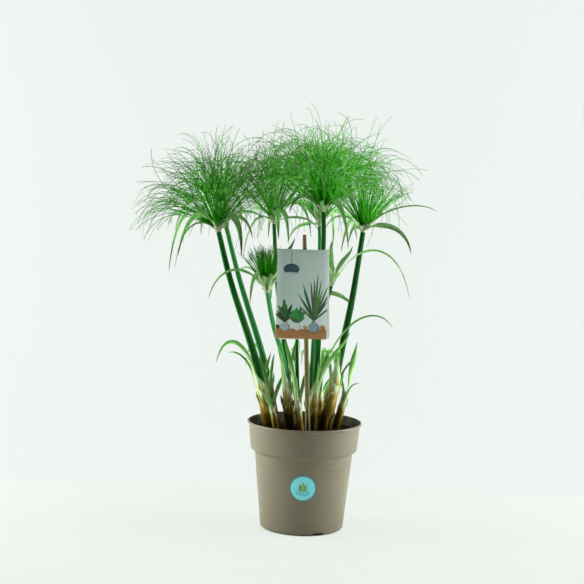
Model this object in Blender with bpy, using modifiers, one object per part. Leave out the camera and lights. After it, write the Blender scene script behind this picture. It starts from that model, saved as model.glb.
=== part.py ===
"""Potted papyrus: a clump of bare green stems, each ending in a head of fine rays over a whorl of strap
bracts, rising from leafy sheaths in a plastic nursery pot with a care card on a stick.

Metres, +Z up. The origin is the centre of the pot's foot, on the surface that the pot stands on. -Y is the
front, where the sticker and the card face. Headings are degrees anticlockwise from +X, seen from above.
"""

import math
import random
from collections import namedtuple

import bmesh
import bpy
from mathutils import Matrix, Vector
from mathutils.bvhtree import BVHTree

# Driving dimensions of the pot
RIM_RADIUS = 0.0950
POT_HEIGHT = 0.1780
COLLAR_TOP_RADIUS = 0.0918
COLLAR_FOOT_RADIUS = 0.0882
COLLAR_HEIGHT = 0.0470
BODY_TOP_RADIUS = 0.0815
BODY_FOOT_RADIUS = 0.0690
FOOT_RADIUS = 0.0655
WALL = 0.0018
LIP_HEIGHT = 0.0045
LIP_TOP_INSET = 0.0030
LIP_BEVEL = 0.0008
LIP_WIDEST_DROP = 0.0022
LIP_UNDERCUT = 0.0006
LIP_WIDTH = 0.0050
LIP_DIP = 0.0010
STEP_ROUND = 0.0025
NECK_FLARE = 0.0008
NECK_FLARE_DROP = 0.0012
NECK_PINCH = 0.0002
NECK_HEIGHT = 0.0040
NECK_INNER_RISE = 0.0005
FOOT_ROUND = 0.0050
FOOT_BEVEL = 0.0012
FOOT_BEVEL_SHARE = 0.3
FLOOR_INSET = 0.0010
PAD_DRAFT = 0.0030
RECESS_DRAFT = 0.0010
RECESS_HEIGHT = 0.0050
RECESS_OUTER_RADIUS = 0.0590
RECESS_INNER_RADIUS = 0.0250
POT_STEPS = 32
SLOT_HEADING = -66.0
SLOT_WIDTH = 0.0190
SLOT_HEIGHT = 0.0045
SLOT_COUNT = 3
DRAIN_RADIUS = 0.0045
DRAIN_RING_RADIUS = 0.0420
DRAIN_SIDES = 10
CUTTER_EXCESS = 0.0040

# Soil, and the pockets that the shoots and the stick stand in
SOIL_TOP = 0.1630
SOIL_CLEARANCE = 0.0010
SOIL_NECK_CLEARANCE = 0.0008
SOIL_NECK_RISE = 0.0015
SOIL_FLOOR_INSET = 0.0020
POCKET_DEPTH = 0.0120
POCKET_FLOOR = 0.0020
STICK_POCKET_ROOM = 0.0020
STICK_POCKET_START = 0.0010
STICK_POCKET_EXCESS = 0.0060
GAP = 0.0004

# Sticker, stick and card
STICKER_RADIUS = 0.0210
STICKER_HEIGHT = 0.0810
STICKER_THICKNESS = 0.0006
STICKER_STEPS = 10
STICKER_SIDES = 28
STICKER_MARGIN = 0.0020
STICKER_ARC_SHARE = 2.4
STICK_FOOT = Vector((0.0086, -0.0620, 0.0950))
STICK_TOP = Vector((-0.0105, -0.0620, 0.4900))
STICK_WIDTH = 0.0076
STICK_THICKNESS = 0.0030
STICK_POINT_LENGTH = 0.0180
STICK_POINT_SHARE = 0.3
STICK_TAPER_LENGTH = 0.0300
STICK_TAPER_SHARE = 0.75
END_BAND = 0.0010
CARD_WIDTH = 0.0820
CARD_HEIGHT = 0.1440
CARD_THICKNESS = 0.0010
CARD_CENTRE = Vector((-0.0115, -0.0642, 0.3945))
BACK_CARD_SHIFT = Vector((0.0028, 0.0044, -0.0010))
BACK_CARD_TURN = -2.2

# Stems, sheaths, bracts and heads
STEM_SIDES = 9
STEM_FLATNESS = 0.86
SHEATH_SIDES = 8
SHEATH_WALL = 0.0009
SHEATH_CLEARANCE = 0.0008
SHEATH_MOUTH = 0.0070
SHEATH_TAPER = 0.0006
SPROUT_TAPER_SHARE = 0.72
WHORL_SIDES = 14
WHORL_HEIGHT = 0.0034
WHORL_RADIUS = 0.0052
WHORL_LEDGE = 0.0012
BLADE_STEPS = 5
BLADE_THICKNESS = 0.0008
BLADE_RISE = 0.28
BLADE_FLIGHT = 0.85
BLADE_ROOT_SHARE = 0.55
BLADE_SPREAD_RATE = 3.5
BLADE_TIP_SHARE = 0.06
BLADE_LEAST_DEPTH = 0.5
HUB_RADIUS = 0.0055
HUB_SINK = 0.45
HUB_HEAD_SHARE = 0.1
HEAD_SPREAD = 68.0
HEAD_DROOP = 0.36
LOCK_RADIUS = 0.0070
LOCK_CLEARANCE = 0.0012
LOCK_RINGS = ((0.42, 0.55), (0.78, 1.00), (1.00, 0.20))
LOCK_SAMPLES = 12
LOCK_ROOT_SIZE = 0.3
LOCK_LENGTHS = (0.94, 1.04)
LOCK_DROOPS = (0.8, 1.2)
LOCK_FULL_REACH = 0.150
LOCK_TRIM = 0.9
LOCK_SHORTEST = 0.2
LOCK_LOOK_AHEAD = 0.15
LOCK_CHECKS = (0.3, 0.6, 0.8, 1.0)
LIKE_SIZE_SHARE = 0.7

UP = Vector((0.0, 0.0, 1.0))
MERGE_DISTANCE = 0.00001
SMOOTH_UNDER = 40.0

# A strap leaf or bract: how far out its tip is, how high it arches, its tip's height, all from its root
Blade = namedtuple("Blade", "heading reach crown tip width")

# A shoot: its stem's axis from the soil's top up, its radii, its sheath's length, its bracts, its head
Shoot = namedtuple("Shoot", "name axis foot_radius top_radius sheath blades bracts head")

# A young shoot without a stem: a rolled sheath with its blades
Sprout = namedtuple("Sprout", "name foot lean radius height blades")

SHOOTS = (
    Shoot(
        "left_front",
        ((-0.057, 0.000), (-0.082, -0.012, 0.272), (-0.126, -0.025, 0.401), (-0.150, -0.030, 0.489)),
        0.0079, 0.0045, 0.088,
        (
            Blade(205, 0.070, 0.061, 0.030, 0.0076),
            Blade(160, 0.050, 0.050, 0.053, 0.0034),
        ),
        (
            Blade(172, 0.076, 0.030, -0.069, 0.0060),
            Blade(222, 0.074, 0.024, -0.040, 0.0064),
            Blade(197, 0.066, 0.008, -0.062, 0.0024),
            Blade(308, 0.062, 0.024, -0.037, 0.0090),
            Blade(30, 0.058, 0.022, -0.012, 0.0056),
            Blade(345, 0.072, 0.031, 0.020, 0.0046),
            Blade(148, 0.100, 0.030, 0.005, 0.0030),
        ),
        0.160,
    ),
    Shoot(
        "left_back",
        ((-0.049, 0.020), (-0.070, 0.032, 0.267), (-0.116, 0.052, 0.403), (-0.151, 0.070, 0.523)),
        0.0070, 0.0036, 0.084,
        (Blade(120, 0.060, 0.050, 0.010, 0.0050),),
        (
            Blade(60, 0.070, 0.020, -0.030, 0.0060),
            Blade(118, 0.080, 0.024, -0.052, 0.0064),
            Blade(178, 0.072, 0.012, -0.044, 0.0050),
            Blade(290, 0.046, 0.004, -0.046, 0.0046),
        ),
        0.150,
    ),
    Shoot(
        "middle",
        ((-0.022, 0.025), (-0.037, 0.022, 0.292), (-0.053, 0.020, 0.401), (-0.061, 0.015, 0.503)),
        0.0048, 0.0034, 0.066,
        (Blade(70, 0.060, 0.070, 0.046, 0.0050),),
        (
            Blade(196, 0.046, 0.004, -0.062, 0.0032),
            Blade(282, 0.026, 0.020, -0.026, 0.0084),
            Blade(318, 0.028, 0.018, -0.034, 0.0064),
            Blade(15, 0.074, 0.008, -0.014, 0.0028),
            Blade(347, 0.060, 0.034, -0.022, 0.0056),
            Blade(95, 0.066, 0.020, -0.030, 0.0060),
            Blade(150, 0.050, 0.022, 0.004, 0.0046),
        ),
        0.155,
    ),
    Shoot(
        "right_back",
        ((0.009, 0.030), (0.011, 0.040, 0.305), (0.016, 0.055, 0.440), (0.015, 0.060, 0.499)),
        0.0050, 0.0032, 0.060,
        (Blade(112, 0.050, 0.060, 0.034, 0.0050),),
        (
            Blade(190, 0.048, -0.002, -0.028, 0.0044),
            Blade(135, 0.060, 0.034, 0.026, 0.0070),
            Blade(70, 0.076, 0.026, -0.040, 0.0064),
            Blade(20, 0.066, 0.022, -0.024, 0.0056),
        ),
        0.155,
    ),
    Shoot(
        "right_front",
        ((0.014, 0.000), (0.018, -0.008, 0.311), (0.021, -0.020, 0.464), (0.019, -0.025, 0.527)),
        0.0055, 0.0038, 0.078,
        (
            Blade(354, 0.118, 0.110, 0.096, 0.0040),
            Blade(326, 0.054, 0.066, 0.104, 0.0076),
        ),
        (
            Blade(322, 0.046, 0.010, -0.060, 0.0064),
            Blade(205, 0.058, 0.022, -0.006, 0.0050),
            Blade(265, 0.044, 0.012, -0.024, 0.0044),
            Blade(25, 0.062, 0.026, 0.004, 0.0060),
            Blade(150, 0.044, 0.030, 0.020, 0.0050),
        ),
        0.155,
    ),
    Shoot(
        "far_right",
        ((0.034, 0.005), (0.058, 0.000, 0.306), (0.072, -0.006, 0.390), (0.085, -0.010, 0.495)),
        0.0078, 0.0044, 0.098,
        (
            Blade(270, 0.018, 0.036, 0.012, 0.0080),
            Blade(20, 0.024, 0.028, 0.042, 0.0034),
        ),
        (
            Blade(338, 0.078, 0.010, -0.034, 0.0070),
            Blade(8, 0.118, 0.048, 0.033, 0.0034),
            Blade(176, 0.060, 0.022, -0.008, 0.0026),
            Blade(55, 0.058, 0.040, 0.020, 0.0040),
            Blade(115, 0.070, 0.018, -0.040, 0.0060),
            Blade(240, 0.040, 0.010, -0.018, 0.0046),
        ),
        0.105,
    ),
    Shoot(
        "short",
        ((-0.024, -0.010), (-0.037, -0.022, 0.273), (-0.057, -0.030, 0.341), (-0.068, -0.035, 0.394)),
        0.0052, 0.0040, 0.092,
        (Blade(245, 0.030, 0.040, 0.056, 0.0050),),
        (
            Blade(182, 0.090, 0.032, -0.016, 0.0034),
            Blade(228, 0.038, 0.027, -0.018, 0.0064),
            Blade(275, 0.026, 0.022, 0.002, 0.0110),
            Blade(20, 0.042, 0.054, 0.086, 0.0064),
            Blade(150, 0.052, 0.034, 0.026, 0.0026),
            Blade(80, 0.050, 0.020, -0.024, 0.0056),
        ),
        0.062,
    ),
    Shoot(
        "leafy",
        ((0.030, 0.034), (0.015, 0.012, 0.304), (0.028, 0.000, 0.370), (0.036, -0.005, 0.405)),
        0.0044, 0.0034, 0.066,
        (Blade(60, 0.050, 0.060, 0.020, 0.0050),),
        (
            Blade(340, 0.130, 0.059, -0.014, 0.0040),
            Blade(28, 0.034, 0.040, 0.062, 0.0060),
            Blade(100, 0.014, 0.044, 0.070, 0.0068),
            Blade(300, 0.020, 0.016, 0.018, 0.0060),
            Blade(248, 0.022, 0.024, 0.030, 0.0064),
            Blade(85, 0.050, 0.024, -0.014, 0.0056),
        ),
        0.0,
    ),
    Shoot(
        "spear",
        ((-0.009, 0.044), (-0.014, 0.040, 0.240), (-0.017, 0.036, 0.306), (-0.019, 0.034, 0.376)),
        0.0036, 0.0026, 0.058,
        (Blade(110, 0.046, 0.064, 0.040, 0.0046),),
        (
            Blade(50, 0.018, 0.028, 0.044, 0.0044),
            Blade(170, 0.016, 0.034, 0.054, 0.0050),
            Blade(352, 0.092, 0.012, -0.014, 0.0076),
        ),
        0.0,
    ),
)

SPROUTS = (
    Sprout(
        "left", (-0.046, -0.020), (-0.20, -0.04), 0.0052, 0.050,
        (
            Blade(150, 0.022, 0.050, 0.076, 0.0064),
            Blade(40, 0.018, 0.033, 0.050, 0.0060),
            Blade(235, 0.022, 0.022, 0.032, 0.0044),
        ),
    ),
    Sprout(
        "centre", (-0.006, -0.018), (-0.14, -0.05), 0.0056, 0.060,
        (
            Blade(170, 0.018, 0.062, 0.096, 0.0074),
            Blade(250, 0.016, 0.036, 0.056, 0.0056),
            Blade(60, 0.030, 0.046, 0.058, 0.0056),
        ),
    ),
    Sprout(
        "right", (0.052, 0.012), (0.24, -0.04), 0.0064, 0.072,
        (
            Blade(350, 0.009, 0.048, 0.077, 0.0104),
            Blade(130, 0.014, 0.024, 0.037, 0.0040),
            Blade(300, 0.034, 0.030, 0.036, 0.0024),
        ),
    ),
    Sprout(
        "back", (0.022, 0.058), (0.05, 0.22), 0.0052, 0.050,
        (
            Blade(80, 0.050, 0.070, 0.050, 0.0064),
            Blade(206, 0.020, 0.038, 0.056, 0.0050),
            Blade(320, 0.030, 0.042, 0.046, 0.0050),
        ),
    ),
)


def clear_scene():
    for old in list(bpy.data.objects):
        bpy.data.objects.remove(old)


def material(name, colour, roughness):
    made = bpy.data.materials.new(name)
    made.use_nodes = True
    shader = made.node_tree.nodes["Principled BSDF"]
    shader.inputs["Base Color"].default_value = (*colour, 1.0)
    shader.inputs["Roughness"].default_value = roughness
    return made


def add_object(name, mesh, finish, collection):
    made = bpy.data.objects.new(name, mesh)
    mesh.materials.append(finish)
    collection.objects.link(made)
    return made


def mesh_object(name, bm, finish, collection):
    """Turns a bmesh into a named object with its normals facing out."""
    bmesh.ops.recalc_face_normals(bm, faces=bm.faces)
    mesh = bpy.data.meshes.new(name)
    bm.to_mesh(mesh)
    bm.free()
    mesh.shade_smooth()
    mesh.set_sharp_from_angle(angle=math.radians(SMOOTH_UNDER))
    return add_object(name, mesh, finish, collection)


def cut(target, cutter, operation="DIFFERENCE"):
    """Adds a Boolean to target, and keeps its cutter out of the render."""
    cutter.hide_render = True
    cutter.display_type = "WIRE"
    modifier = target.modifiers.new("cut", "BOOLEAN")
    modifier.operation = operation
    modifier.use_self = True
    modifier.object = cutter


def turned(name, outline, finish, collection):
    """A solid of revolution about Z, from an outline of (radius, height) that starts and ends on the axis."""
    bm = bmesh.new()
    points = [bm.verts.new((radius, 0.0, height)) for radius, height in outline]
    for start, end in zip(points, points[1:]):
        bm.edges.new((start, end))
    mesh = bpy.data.meshes.new(name)
    bm.to_mesh(mesh)
    bm.free()
    made = add_object(name, mesh, finish, collection)
    screw = made.modifiers.new("turn", "SCREW")
    screw.steps = screw.render_steps = POT_STEPS
    screw.use_merge_vertices = True
    screw.merge_threshold = MERGE_DISTANCE
    screw.use_smooth_shade = True
    return made


def body_radius(height):
    """Outer radius of the pot's tapered body."""
    share = (height - FOOT_ROUND) / (POT_HEIGHT - COLLAR_HEIGHT - FOOT_ROUND)
    return BODY_FOOT_RADIUS + share * (BODY_TOP_RADIUS - BODY_FOOT_RADIUS)


def pot_outside():
    """Outer outline of the pot, from the lip's top down to the foot."""
    step = POT_HEIGHT - COLLAR_HEIGHT
    lip_foot = POT_HEIGHT - LIP_HEIGHT
    return [
        (RIM_RADIUS - LIP_TOP_INSET, POT_HEIGHT),
        (RIM_RADIUS - LIP_BEVEL, POT_HEIGHT - LIP_BEVEL),
        (RIM_RADIUS, POT_HEIGHT - LIP_WIDEST_DROP),
        (RIM_RADIUS - LIP_BEVEL, lip_foot + LIP_UNDERCUT),
        (COLLAR_TOP_RADIUS, lip_foot),
        (COLLAR_FOOT_RADIUS, step + STEP_ROUND),
        (COLLAR_FOOT_RADIUS - STEP_ROUND, step),
        (BODY_TOP_RADIUS + NECK_FLARE, step - NECK_FLARE_DROP),
        (BODY_TOP_RADIUS - NECK_PINCH, step - NECK_HEIGHT),
        (BODY_FOOT_RADIUS, FOOT_ROUND),
        (BODY_FOOT_RADIUS - FOOT_BEVEL, FOOT_ROUND * FOOT_BEVEL_SHARE),
        (FOOT_RADIUS, 0.0),
    ]


def pot_inside():
    """Inner outline of the pot's wall, from the floor up to the lip."""
    step = POT_HEIGHT - COLLAR_HEIGHT
    floor = RECESS_HEIGHT + WALL
    return [
        (RECESS_INNER_RADIUS - PAD_DRAFT, WALL),
        (RECESS_INNER_RADIUS, floor),
        (body_radius(floor) - WALL - FLOOR_INSET, floor),
        (BODY_TOP_RADIUS - WALL, step - NECK_HEIGHT),
        (BODY_TOP_RADIUS - WALL, step + NECK_INNER_RISE),
        (COLLAR_FOOT_RADIUS - WALL, step + STEP_ROUND + WALL),
        (RIM_RADIUS - LIP_WIDTH, POT_HEIGHT - LIP_DIP),
    ]


def make_pot(finish, collection, cutters):
    """A moulded pot: a rolled lip, a stepped collar, and a foot ring and centre pad round a raised floor."""
    underside = [
        (RECESS_OUTER_RADIUS + RECESS_DRAFT, 0.0),
        (RECESS_OUTER_RADIUS, RECESS_HEIGHT),
        (RECESS_INNER_RADIUS + WALL, RECESS_HEIGHT),
        (RECESS_INNER_RADIUS, 0.0),
        (0.0, 0.0),
    ]
    outline = [(0.0, WALL)] + pot_inside() + pot_outside() + underside
    pot = turned("pot", outline, finish, collection)
    cut(pot, drain_cutter(finish, cutters))
    return pot


def drain_cutter(finish, collection):
    """Slots through the foot ring's edge, and round holes in the floor above the recess."""
    bm = bmesh.new()
    middle = (RECESS_OUTER_RADIUS + RIM_RADIUS) / 2
    for index in range(SLOT_COUNT):
        turn = Matrix.Rotation(math.radians(SLOT_HEADING) + math.tau * index / SLOT_COUNT, 4, "Z")
        length = RIM_RADIUS - RECESS_OUTER_RADIUS + CUTTER_EXCESS
        size = Matrix.Diagonal((length, SLOT_WIDTH, 2 * SLOT_HEIGHT, 1.0))
        bmesh.ops.create_cube(bm, size=1.0, matrix=turn @ Matrix.Translation((middle, 0, 0)) @ size)
        bmesh.ops.create_cone(
            bm, cap_ends=True, segments=DRAIN_SIDES, radius1=DRAIN_RADIUS, radius2=DRAIN_RADIUS,
            depth=4 * WALL, matrix=turn @ Matrix.Translation((DRAIN_RING_RADIUS, 0, RECESS_HEIGHT + WALL)),
        )
    return mesh_object("drain_cutter", bm, finish, collection)


def make_soil(finish, collection, pockets):
    """The potting mix: it fills the pot to just under the rim, with a pocket for each thing that it holds."""
    step = POT_HEIGHT - COLLAR_HEIGHT
    floor = RECESS_HEIGHT + WALL + GAP
    top_share = (SOIL_TOP - step) / COLLAR_HEIGHT
    inset = WALL + SOIL_CLEARANCE
    top_radius = COLLAR_FOOT_RADIUS + top_share * (COLLAR_TOP_RADIUS - COLLAR_FOOT_RADIUS) - inset
    outline = [
        (0.0, SOIL_TOP),
        (top_radius, SOIL_TOP),
        (COLLAR_FOOT_RADIUS - inset, step + STEP_ROUND + inset),
        (BODY_TOP_RADIUS - WALL - SOIL_NECK_CLEARANCE, step + SOIL_NECK_RISE),
        (body_radius(floor) - WALL - SOIL_FLOOR_INSET, floor),
        (0.0, floor),
    ]
    soil = turned("soil", outline, finish, collection)
    cut(soil, pockets)
    return soil


def add_pocket(bm, foot, direction, radius):
    """A round pocket cutter along a shoot's foot, open at the soil's top."""
    depth = 2 * POCKET_DEPTH
    bmesh.ops.create_cone(
        bm, cap_ends=True, segments=SHEATH_SIDES, radius1=radius, radius2=radius, depth=depth,
        matrix=leaning(direction, foot) @ Matrix.Translation((0, 0, depth / 2 - GAP)),
    )


def stem_axis(shoot):
    """The stem's axis, from its foot in a pocket under the soil's top to its upper end."""
    bends = [Vector((*shoot.axis[0], SOIL_TOP))] + [Vector(point) for point in shoot.axis[1:]]
    along = (bends[1] - bends[0]).normalized()
    bends[0] -= along * (POCKET_DEPTH - POCKET_FLOOR)
    return bends


def foot_direction(shoot):
    axis = stem_axis(shoot)
    return (axis[1] - axis[0]).normalized()


def top_direction(shoot):
    axis = stem_axis(shoot)
    return (axis[-1] - axis[-2]).normalized()


def carry(bm, face, centre, direction, new_direction, scale):
    """Extrudes a face to a new centre, turned and scaled with it, and returns the new end face."""
    face = bmesh.ops.extrude_discrete_faces(bm, faces=[face])["faces"][0]
    middle = face.calc_center_median()
    turn = direction.rotation_difference(new_direction)
    for vert in face.verts:
        vert.co = centre + turn @ (vert.co - middle) * scale
    return face


def make_stem(shoot, finish, collection):
    """A bare tapered stem with the blunt three-sided section of a sedge."""
    axis = stem_axis(shoot)
    length = (axis[-1] - axis[0]).length
    bm = bmesh.new()
    disc = bmesh.ops.create_circle(bm, cap_ends=True, segments=STEM_SIDES, radius=shoot.foot_radius)
    for index, vert in enumerate(disc["verts"]):
        if index % 3:
            vert.co *= STEM_FLATNESS
    direction = foot_direction(shoot)
    bmesh.ops.transform(bm, matrix=leaning(direction, axis[0]), verts=bm.verts)
    foot = bm.faces[:][0]
    foot_copy = bmesh.ops.duplicate(bm, geom=[foot])["geom"]
    face = [item for item in foot_copy if isinstance(item, bmesh.types.BMFace)][0]
    radius = shoot.foot_radius
    for index in range(1, len(axis)):
        ahead = axis[min(index + 1, len(axis) - 1)]
        new_direction = (ahead - axis[index - 1]).normalized()
        share = (axis[index] - axis[0]).length / length
        new_radius = shoot.foot_radius + share * (shoot.top_radius - shoot.foot_radius)
        face = carry(bm, face, axis[index], direction, new_direction, new_radius / radius)
        direction, radius = new_direction, new_radius
    bmesh.ops.remove_doubles(bm, verts=bm.verts, dist=MERGE_DISTANCE)
    return mesh_object("stem_" + shoot.name, bm, finish, collection)


def blade_path(start, blade, steps=BLADE_STEPS):
    """The midline of a strap leaf: up from its root, at its crown half way, and on to its tip."""
    heading = math.radians(blade.heading)
    out = Vector((math.cos(heading), math.sin(heading), 0.0))
    lift = (blade.crown - blade.tip / 8) / 0.75
    points = []
    for index in range(steps + 1):
        t = index / steps
        along = 3 * BLADE_RISE * t * (1 - t) ** 2 + 3 * BLADE_FLIGHT * t * t * (1 - t) + t ** 3
        height = 3 * lift * t * (1 - t) + blade.tip * t ** 3
        points.append(start + out * blade.reach * along + UP * height)
    return points


def blade_share(t):
    """A leaf's width along its length, as a share of its widest."""
    spread = min(1.0, BLADE_SPREAD_RATE * t)
    return (BLADE_ROOT_SHARE + (1.0 - BLADE_ROOT_SHARE) * spread) * (1.0 - t ** 3) + BLADE_TIP_SHARE


def corner_sign(value):
    return 1.0 if value > 0 else -1.0


def grow_blade(bm, face, blade):
    """Extrudes a side face along a leaf's midline, as a strap that thins to its tip."""
    path = blade_path(face.calc_center_median(), blade)
    heading = math.radians(blade.heading)
    side = Vector((-math.sin(heading), math.cos(heading), 0.0))
    normal = UP
    for index in range(1, len(path)):
        face = bmesh.ops.extrude_discrete_faces(bm, faces=[face])["faces"][0]
        centre = face.calc_center_median()
        ahead = path[min(index + 1, len(path) - 1)]
        tangent = (ahead - path[index - 1]).normalized()
        section = tangent.cross(side)
        share = blade_share(index / (len(path) - 1))
        half_width = side * blade.width / 2 * share
        half_depth = section * BLADE_THICKNESS / 2 * max(share, BLADE_LEAST_DEPTH)
        for vert in face.verts:
            offset = vert.co - centre
            across = corner_sign(offset.dot(side))
            over = corner_sign(offset.dot(normal))
            vert.co = path[index] + half_width * across + half_depth * over
        normal = section


def face_towards(faces, heading):
    """The side face whose normal is nearest to a heading."""
    angle = math.radians(heading)
    out = Vector((math.cos(angle), math.sin(angle), 0.0))
    return max(faces, key=lambda face: face.normal.dot(out))


def grow_blades(bm, side_faces, blades):
    """Grows each blade from its own side face."""
    free = list(side_faces)
    for blade in blades:
        face = face_towards(free, blade.heading)
        free.remove(face)
        grow_blade(bm, face, blade)


def leaning(direction, place):
    """A matrix that stands +Z along direction at place."""
    turn = UP.rotation_difference(direction.normalized()).to_matrix().to_4x4()
    return Matrix.Translation(place) @ turn


def grow_mouth_blades(bm, direction, foot, length, blades):
    """Cuts a sheath round just under its mouth, and grows each blade from an outward face above the cut."""
    mouth = length - SHEATH_MOUTH
    bmesh.ops.bisect_plane(
        bm, geom=bm.verts[:] + bm.edges[:] + bm.faces[:], plane_co=(0, 0, mouth), plane_no=(0, 0, 1),
    )
    bm.normal_update()
    sides = []
    for face in bm.faces:
        centre = face.calc_center_median()
        outward = face.normal.x * centre.x + face.normal.y * centre.y
        if centre.z > mouth and abs(face.normal.z) < 0.5 and outward > 0:
            sides.append(face)
    bmesh.ops.transform(bm, matrix=leaning(direction, foot), verts=bm.verts)
    bm.normal_update()
    grow_blades(bm, sides, blades)


def make_sheath(shoot, finish, collection):
    """A leaf sheath: a tube round the stem's foot, with blades that leave it at its mouth."""
    length = shoot.sheath + POCKET_DEPTH
    wide = shoot.foot_radius + SHEATH_CLEARANCE + SHEATH_WALL
    bm = bmesh.new()
    bmesh.ops.create_cone(
        bm, cap_ends=True, segments=SHEATH_SIDES, radius1=wide, radius2=wide - SHEATH_TAPER, depth=length,
        matrix=Matrix.Translation((0, 0, length / 2)),
    )
    caps = [face for face in bm.faces if len(face.verts) == SHEATH_SIDES]
    bmesh.ops.inset_individual(bm, faces=caps, thickness=SHEATH_WALL)
    rims = [edge for cap in caps for edge in cap.edges]
    bmesh.ops.delete(bm, geom=caps, context="FACES_ONLY")
    bmesh.ops.bridge_loops(bm, edges=rims)
    bmesh.ops.recalc_face_normals(bm, faces=bm.faces)
    grow_mouth_blades(bm, foot_direction(shoot), stem_axis(shoot)[0], length, shoot.blades)
    return mesh_object("sheath_" + shoot.name, bm, finish, collection)


def sprout_direction(sprout):
    return Vector((*sprout.lean, 1.0)).normalized()


def sprout_foot(sprout):
    return Vector((*sprout.foot, SOIL_TOP)) - sprout_direction(sprout) * (POCKET_DEPTH - POCKET_FLOOR)


def make_sprout(sprout, finish, collection):
    """A young shoot with no stem: a rolled solid sheath with its blades."""
    length = sprout.height + POCKET_DEPTH
    bm = bmesh.new()
    bmesh.ops.create_cone(
        bm, cap_ends=True, segments=SHEATH_SIDES, radius1=sprout.radius,
        radius2=sprout.radius * SPROUT_TAPER_SHARE, depth=length,
        matrix=Matrix.Translation((0, 0, length / 2)),
    )
    grow_mouth_blades(bm, sprout_direction(sprout), sprout_foot(sprout), length, sprout.blades)
    return mesh_object("sprout_" + sprout.name, bm, finish, collection)


def make_bracts(shoot, finish, collection):
    """The whorl of strap bracts on a stem's upper end: a short hub with a bract towards each heading.

    Under a head the hub widens upwards. Without one it narrows, so that its leaves stand up clear of it.
    """
    direction = top_direction(shoot)
    lower, upper = shoot.top_radius, max(WHORL_RADIUS, shoot.top_radius + WHORL_LEDGE)
    if not shoot.head:
        lower, upper = upper, lower
    middle = stem_axis(shoot)[-1] + direction * (WHORL_HEIGHT / 2 + GAP)
    bm = bmesh.new()
    bmesh.ops.create_cone(
        bm, cap_ends=True, segments=WHORL_SIDES, radius1=lower, radius2=upper,
        depth=WHORL_HEIGHT, matrix=leaning(direction, middle),
    )
    bm.normal_update()
    sides = [face for face in bm.faces if len(face.verts) == 4]
    grow_blades(bm, sides, shoot.bracts)
    return mesh_object("bracts_" + shoot.name, bm, finish, collection)


def lock_point(root, direction, length, droop, share):
    """A point on a lock's midline: straight at first, then arching out and down under its own weight."""
    lean = math.sqrt(max(0.0, 1.0 - direction.z ** 2))
    return root + direction * length * share - UP * droop * length * lean * share ** 3


def lock_size(share):
    """A lock's thickness at a share of its length, as a share of its widest."""
    last_share, last_size = 0.0, LOCK_ROOT_SIZE
    for ring_share, ring_size in LOCK_RINGS:
        if share <= ring_share:
            part = (share - last_share) / (ring_share - last_share)
            return last_size + part * (ring_size - last_size)
        last_share, last_size = ring_share, ring_size
    return last_size


def blocked(line, thick, hulls):
    """Whether a lock comes nearer to a finished solid than its own thickness."""
    for index in range(1, LOCK_SAMPLES + 1):
        share = index / LOCK_SAMPLES
        reach = thick * lock_size(share) + LOCK_CLEARANCE
        point = lock_point(*line, share)
        if any(hull.find_nearest(point, reach)[0] for hull in hulls):
            return True
    return False


def past_neighbour(line, apex, reach, others):
    """Whether a lock crosses over to a head of like size, where the two share the space by their reach."""
    for other_apex, other_reach in others:
        between = other_apex - apex
        limit = between.length * reach / (reach + other_reach) - LOCK_RADIUS - LOCK_CLEARANCE
        towards = between.normalized()
        for share in LOCK_CHECKS:
            if (lock_point(*line, share) - apex).dot(towards) > limit:
                return True
    return False


def grow_lock(bm, face, shoot, others, hulls, rng):
    """Extrudes one face of the hub into a lock of rays, as long as its neighbours leave it room for."""
    length = shoot.head * rng.uniform(*LOCK_LENGTHS)
    droop = HEAD_DROOP * rng.uniform(*LOCK_DROOPS)
    thick = LOCK_RADIUS * math.sqrt(shoot.head / LOCK_FULL_REACH)
    root, direction = face.calc_center_median(), face.normal.copy()
    line = (root, direction, length, droop)
    while past_neighbour(line, Vector(shoot.axis[-1]), shoot.head, others) or blocked(line, thick, hulls):
        length *= LOCK_TRIM
        if length < LOCK_SHORTEST * shoot.head:
            return
        line = (root, direction, length, droop)
    radius = max((vert.co - root).length for vert in face.verts)
    last_share = 0.0
    for share, size in LOCK_RINGS:
        ahead = lock_point(*line, min(1.0, share + LOCK_LOOK_AHEAD)) - lock_point(*line, last_share)
        face = carry(bm, face, lock_point(*line, share), direction, ahead.normalized(), thick * size / radius)
        direction, radius, last_share = ahead.normalized(), thick * size, share


def make_head(shoot, others, hulls, finish, collection):
    """A head of fine rays: a small domed hub with arching locks that part where two heads meet."""
    rng = random.Random(shoot.name)
    stem = top_direction(shoot)
    axis = (stem + UP).normalized()
    radius = min(HUB_RADIUS, HUB_HEAD_SHARE * shoot.head)
    base = stem_axis(shoot)[-1] + stem * (WHORL_HEIGHT + 2 * GAP)
    bm = bmesh.new()
    bmesh.ops.create_icosphere(bm, subdivisions=2, radius=radius)
    sunk = bmesh.ops.bisect_plane(
        bm, geom=bm.verts[:] + bm.edges[:] + bm.faces[:],
        plane_co=(0, 0, -HUB_SINK * radius), plane_no=(0, 0, 1), clear_inner=True,
    )
    rim = [item for item in sunk["geom_cut"] if isinstance(item, bmesh.types.BMEdge)]
    bmesh.ops.contextual_create(bm, geom=rim)
    bmesh.ops.recalc_face_normals(bm, faces=bm.faces)
    bmesh.ops.transform(bm, matrix=leaning(stem, base + stem * HUB_SINK * radius), verts=bm.verts)
    bm.normal_update()
    limit = math.cos(math.radians(HEAD_SPREAD))
    for face in [face for face in bm.faces if face.normal.dot(axis) > limit]:
        grow_lock(bm, face, shoot, others, hulls, rng)
    return mesh_object("head_" + shoot.name, bm, finish, collection)


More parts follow.
